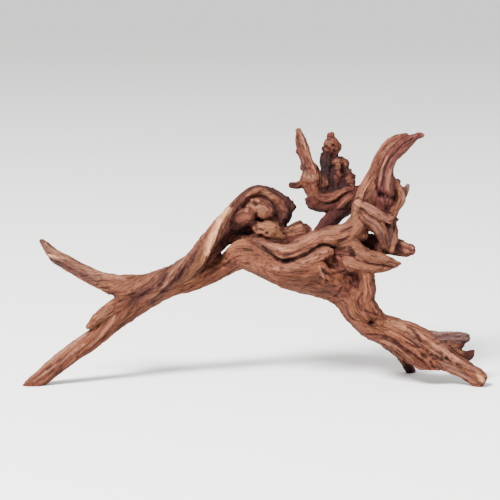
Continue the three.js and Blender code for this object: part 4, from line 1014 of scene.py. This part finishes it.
# crowding: the share of wood round a point just off the skin, read from a map of filled cells that a bell
# blurs
def crowdingOf(points, normal):
    low = points.min(axis=0) - crowd["border"]
    shape = tuple(((points.max(axis=0) + crowd["border"] - low) / crowd["cell"]).astype(int) + 1)
    across = np.linspace(-1, 1, crowd["discAcross"])
    disc = np.stack(np.meshgrid(across, across), axis=-1).reshape(-1, 2)
    disc = disc[(disc ** 2).sum(axis=1) <= 1]
    filled = np.zeros(shape)
    for rings in ringSets.values():
        spread = rings["half"][:, None] * disc
        core = (rings["centre"][:, None] + rings["across"][:, None] * spread[..., :1]
                + rings["through"][:, None] * spread[..., 1:])
        filled[tuple(((core.reshape(-1, 3) - low) / crowd["cell"]).round().astype(int).T)] = 1
    waves = np.meshgrid(*(np.fft.fftfreq(n) for n in shape), indexing="ij")
    bell = np.exp(-2 * (np.pi * crowd["blur"]) ** 2 * sum(w * w for w in waves))
    share = np.fft.ifftn(np.fft.fftn(filled) * bell).real
    spot = ((points + normal * crowd["lift"] - low) / crowd["cell"]).round().astype(int)
    return share[tuple(np.clip(spot, 0, np.array(shape) - 1).T)]


# a value on each vertex, moved some rounds towards its neighbours' mean
def settled(value):
    for _ in range(crowd["rounds"]):
        value = value + crowd["step"] * pullOf(value[:, None], edges)[:, 0]
    return value


normal = normalsOf(points, quads)
crowding = settled(crowdingOf(points, normal))
curve = settled((pullOf(points, edges) * normal).sum(axis=1))  # above 0 in a groove, below it on an edge
print("crowded places and edges found")

# How the tone changes over the wood; the last three give where a change begins, the span it grows over and
# its strength.
tint = {
    "streakSize": (2.6, 2.6, 50.0),      # millimetres, two across the grain and one along it
    "streak": 0.42,
    "blotchSize": 24.0,                  # millimetres
    "blotch": 0.25,
    "channels": (0.9, 1.0, 1.0),         # red changes least, so what is darker is also redder
    "crack": 0.55,
    "mottle": 0.25,                      # streaks within a mark
    "range": (0.004, 0.9),               # darkest and lightest, linear
    # painted shade, with some stain: darker where much wood crowds round a place
    "crowded": (0.40, 0.35, 0.6),        # share of wood round the place
    # painted shade, with some stain: darker in grooves
    "sunken": (0.02, 0.16, 0.5),         # millimetres below its neighbours' mean
    # lighter on edges: part wear, part painted highlight
    "wearAndHighlight": (0.02, 0.16, 0.5),           # millimetres above it
}


# a colour carried towards a tone, by a share from 0 to 1 times a strength
def tinted(colour, where, tone, strength):
    return colour + (toneOf[tone] - colour) * (np.clip(where, 0, 1) * strength)[:, None]


# the share of a change at a place: 0 until it begins, then eased up to 1 over its span
def grown(value, change):
    begin, span, _ = tint[change]
    return eased((value - begin) / span)


# colour: the limb's tone, mixed half and half where two limbs meet, streaked along the grain, blotched,
# darker in crowded and sunken places (painted shade, with some stain), lighter on edges (wear and painted
# highlight), and then the marks
tones = np.array([toneOf[t] for t, _ in look])
colour = tones[runnerUp] + (tones[limb] - tones[runnerUp]) * (0.5 + 0.5 * inLimb)[:, None]
streak = roughness(grain / np.array(tint["streakSize"]) / mm, seed=41, sizes=3)
blotch = roughness(points / (tint["blotchSize"] * mm), seed=53, sizes=3)
colour = colour * (1 + np.outer(tint["streak"] * streak + tint["blotch"] * blotch, tint["channels"]))
colour = tinted(colour, crack * inLimb, "redBrown", tint["crack"])
# painted shade, with some stain: darker where much wood crowds round a place, as in hollows and between
# limbs
colour = tinted(colour, grown(crowding, "crowded"), "dark", tint["crowded"][2])
# painted shade, with some stain: darker in grooves
colour = tinted(colour, grown(curve / mm, "sunken"), "dark", tint["sunken"][2])
# lighter on edges: part wear, part painted highlight
colour = colour * (1 + tint["wearAndHighlight"][2] * grown(-curve / mm, "wearAndHighlight"))[:, None]
# the marks: stains, grooves and holes, with painted highlights and painted shade among them
for tone, halfWidth, _, strength, line in marks:
    near, cover = markCover(halfWidth, line)
    mottle = 1 + tint["mottle"] * streak[near]
    colour[near] += (toneOf[tone] * mottle[:, None] - colour[near]) * (cover * strength)[:, None]
colour = np.clip(colour, *tint["range"])
print("colour laid on")

# feet cut flat at the floor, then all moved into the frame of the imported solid
points[:, 2] = np.maximum(points[:, 2], 0)
points = points + packedShift

mesh = bpy.data.meshes.new("driftwood_skin")
mesh.vertices.add(len(points))
mesh.vertices.foreach_set("co", points.astype(np.float32).ravel())
mesh.loops.add(quads.size)
mesh.loops.foreach_set("vertex_index", quads.astype(np.int32).ravel())
mesh.polygons.add(len(quads))
mesh.polygons.foreach_set("loop_start", np.arange(0, quads.size, 4, dtype=np.int32))
mesh.polygons.foreach_set("loop_total", np.full(len(quads), 4, np.int32))
mesh.polygons.foreach_set("use_smooth", np.ones(len(quads), bool))
mesh.update(calc_edges=True)
painted = mesh.attributes.new("woodColour", "FLOAT_COLOR", "POINT")
opaque = np.hstack([colour, np.ones((len(colour), 1))])
painted.data.foreach_set("color", opaque.astype(np.float32).ravel())
lengthwise = mesh.attributes.new("grain", "FLOAT_VECTOR", "POINT")
lengthwise.data.foreach_set("vector", grain.astype(np.float32).ravel())
driftwood = bpy.data.objects.new("driftwood_skin", mesh)
bpy.context.scene.collection.objects.link(driftwood)

# vertices are spared on the side out of sight
hidden = driftwood.vertex_groups.new(name="hidden")
hidden.add(np.flatnonzero(inView < skin["hiddenBelow"]).tolist(), 1.0, "REPLACE")
sparing = driftwood.modifiers.new("sparing", "DECIMATE")
sparing.ratio = min(1.0, skin["triangles"] / (2 * len(quads)))
sparing.vertex_group = "hidden"
dense = mesh
mesh = bpy.data.meshes.new_from_object(driftwood.evaluated_get(bpy.context.evaluated_depsgraph_get()))
driftwood.modifiers.clear()
driftwood.vertex_groups.clear()
driftwood.data = mesh
bpy.data.meshes.remove(dense)
mesh.name = "driftwood_skin"
print("spared to", len(mesh.loops) - 2 * len(mesh.polygons), "triangles")


# one node with its settings, and links from other nodes' outputs to its inputs
def node(tree, kind, settings=None, values=None, links=None):
    made = tree.nodes.new(kind)
    for name, value in (settings or {}).items():
        setattr(made, name, value)
    for name, value in (values or {}).items():
        made.inputs[name].default_value = value
    for name, (source, output) in (links or {}).items():
        tree.links.new(source.outputs[output], made.inputs[name])
    return made


# Patterns along the grain: width and length, the noise that draws them, and the tone it is turned to.
# Real fibres are finer than 1.2 mm, which is as fine as shows.
woodGrain = {
    "fibres": {"width": 1.2 * mm, "length": 20 * mm, "detail": 3.0, "roughness": 0.65,
               "noise": (0.3, 0.7), "tone": (0.55, 1.42)},    # darker and lighter by turns
    "checks": {"width": 2.5 * mm, "length": 14 * mm, "detail": 2.0, "roughness": 0.55,
               "noise": (0.56, 0.68), "tone": (1.0, 0.35)},   # open pores and short checks that hold dirt
}

# bare weathered wood: matt, streaked along the grain, with fine raised fibres that catch the light
wood = bpy.data.materials.new("weathered root wood")
wood.use_nodes = True
tree = wood.node_tree
tree.nodes.clear()
ownTone = node(tree, "ShaderNodeAttribute", {"attribute_name": "woodColour"})
lie = node(tree, "ShaderNodeAttribute", {"attribute_name": "grain"})
patternTones = []
for pattern in woodGrain.values():
    thin, long = 1 / pattern["width"], 1 / pattern["length"]
    drawn = node(tree, "ShaderNodeVectorMath", {"operation": "MULTIPLY"}, {1: (thin, thin, long)},
                 {0: (lie, "Vector")})
    noise = node(tree, "ShaderNodeTexNoise",
                 values={"Scale": 1.0, "Detail": pattern["detail"], "Roughness": pattern["roughness"]},
                 links={"Vector": (drawn, "Vector")})
    patternTones.append(node(tree, "ShaderNodeMapRange",
                             values={"From Min": pattern["noise"][0], "From Max": pattern["noise"][1],
                                     "To Min": pattern["tone"][0], "To Max": pattern["tone"][1]},
                             links={"Value": (noise, "Fac")}))
both = node(tree, "ShaderNodeMath", {"operation": "MULTIPLY"},
            links={i: (patternTone, "Result") for i, patternTone in enumerate(patternTones)})
streaked = node(tree, "ShaderNodeVectorMath", {"operation": "MULTIPLY"},
                links={0: (ownTone, "Color"), 1: (both, "Value")})
bump = node(tree, "ShaderNodeBump", values={"Strength": 1.0, "Distance": 1.0 * mm},
            links={"Height": (both, "Value")})
shader = node(tree, "ShaderNodeBsdfPrincipled",
              values={"Roughness": 0.75, "IOR": 1.5, "Specular IOR Level": 0.12},
              links={"Base Color": (streaked, "Vector"), "Normal": (bump, "Normal")})
node(tree, "ShaderNodeOutputMaterial", links={"Surface": (shader, "BSDF")})
mesh.materials.append(wood)
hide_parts("driftwood")
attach(driftwood, "root")
print("driftwood made")

# Soft studio light: a bright room, and one large panel up and to the left of the eye.
studio = {
    "floorHalf": 8.0,                    # metres, so that the floor runs out past the view
    "floorColour": "#f4f2f0",
    "roomStrength": 1.15,
    "panelPower": 850.0,                 # watts
    "panelSize": 1.3,                    # metres
    "panelPlace": (-1.7, -2.5, 3.1),
    "panelAim": (0.0, 0.0, 0.12),        # about the middle of the wood
    "sensorWidth": 36.0,                 # millimetres
}


# a light's or a camera's place and turn: its axes are right, up and the way back from where it looks
def aimed(right, up, ahead, place):
    return Matrix([*np.column_stack([right, up, -ahead, place]).tolist(), [0, 0, 0, 1]])


# a plain pale floor
far = studio["floorHalf"]
floorMesh = bpy.data.meshes.new("floor")
floorMesh.from_pydata([(-far, -far, 0), (far, -far, 0), (far, far, 0), (-far, far, 0)], [], [(0, 1, 2, 3)])
floor = bpy.data.objects.new("floor", floorMesh)
bpy.context.scene.collection.objects.link(floor)
paper = bpy.data.materials.new("matt white paper")  # a pale sheet with no sheen
paper.use_nodes = True
paperShader = paper.node_tree.nodes["Principled BSDF"]
paperShader.inputs["Base Color"].default_value = (*linear(studio["floorColour"]), 1)
paperShader.inputs["Roughness"].default_value = 0.9
floorMesh.materials.append(paper)

room = bpy.data.worlds.new("white room")
room.use_nodes = True
room.node_tree.nodes["Background"].inputs["Color"].default_value = (1, 1, 1, 1)
room.node_tree.nodes["Background"].inputs["Strength"].default_value = studio["roomStrength"]
bpy.context.scene.world = room
panel = bpy.data.lights.new("panel", "AREA")
panel.energy = studio["panelPower"]
panel.size = studio["panelSize"]
panelHolder = bpy.data.objects.new("panel", panel)
bpy.context.scene.collection.objects.link(panelHolder)
panelPlace = np.array(studio["panelPlace"])
toWood = unit(np.array(studio["panelAim"]) - panelPlace)
side = unit(np.cross(toWood, [0, 0, 1]))
panelHolder.matrix_world = aimed(side, np.cross(side, toWood), toWood, panelPlace)

# the eye, where the side view is taken from
lens = bpy.data.cameras.new("side view")
lens.sensor_width = studio["sensorWidth"]
lens.lens = lens.sensor_width * sideView["distance"] / (sideView["size"] * sideView["pixel"])
eye = bpy.data.objects.new("side view", lens)
eyePlace = viewMiddle - sight * sideView["distance"] + packedShift
eye.matrix_world = aimed(viewRight, viewUp, sight, eyePlace)
bpy.context.scene.collection.objects.link(eye)
bpy.context.scene.camera = eye
print("stage, light and eye set")

bpy.context.view_layer.update()
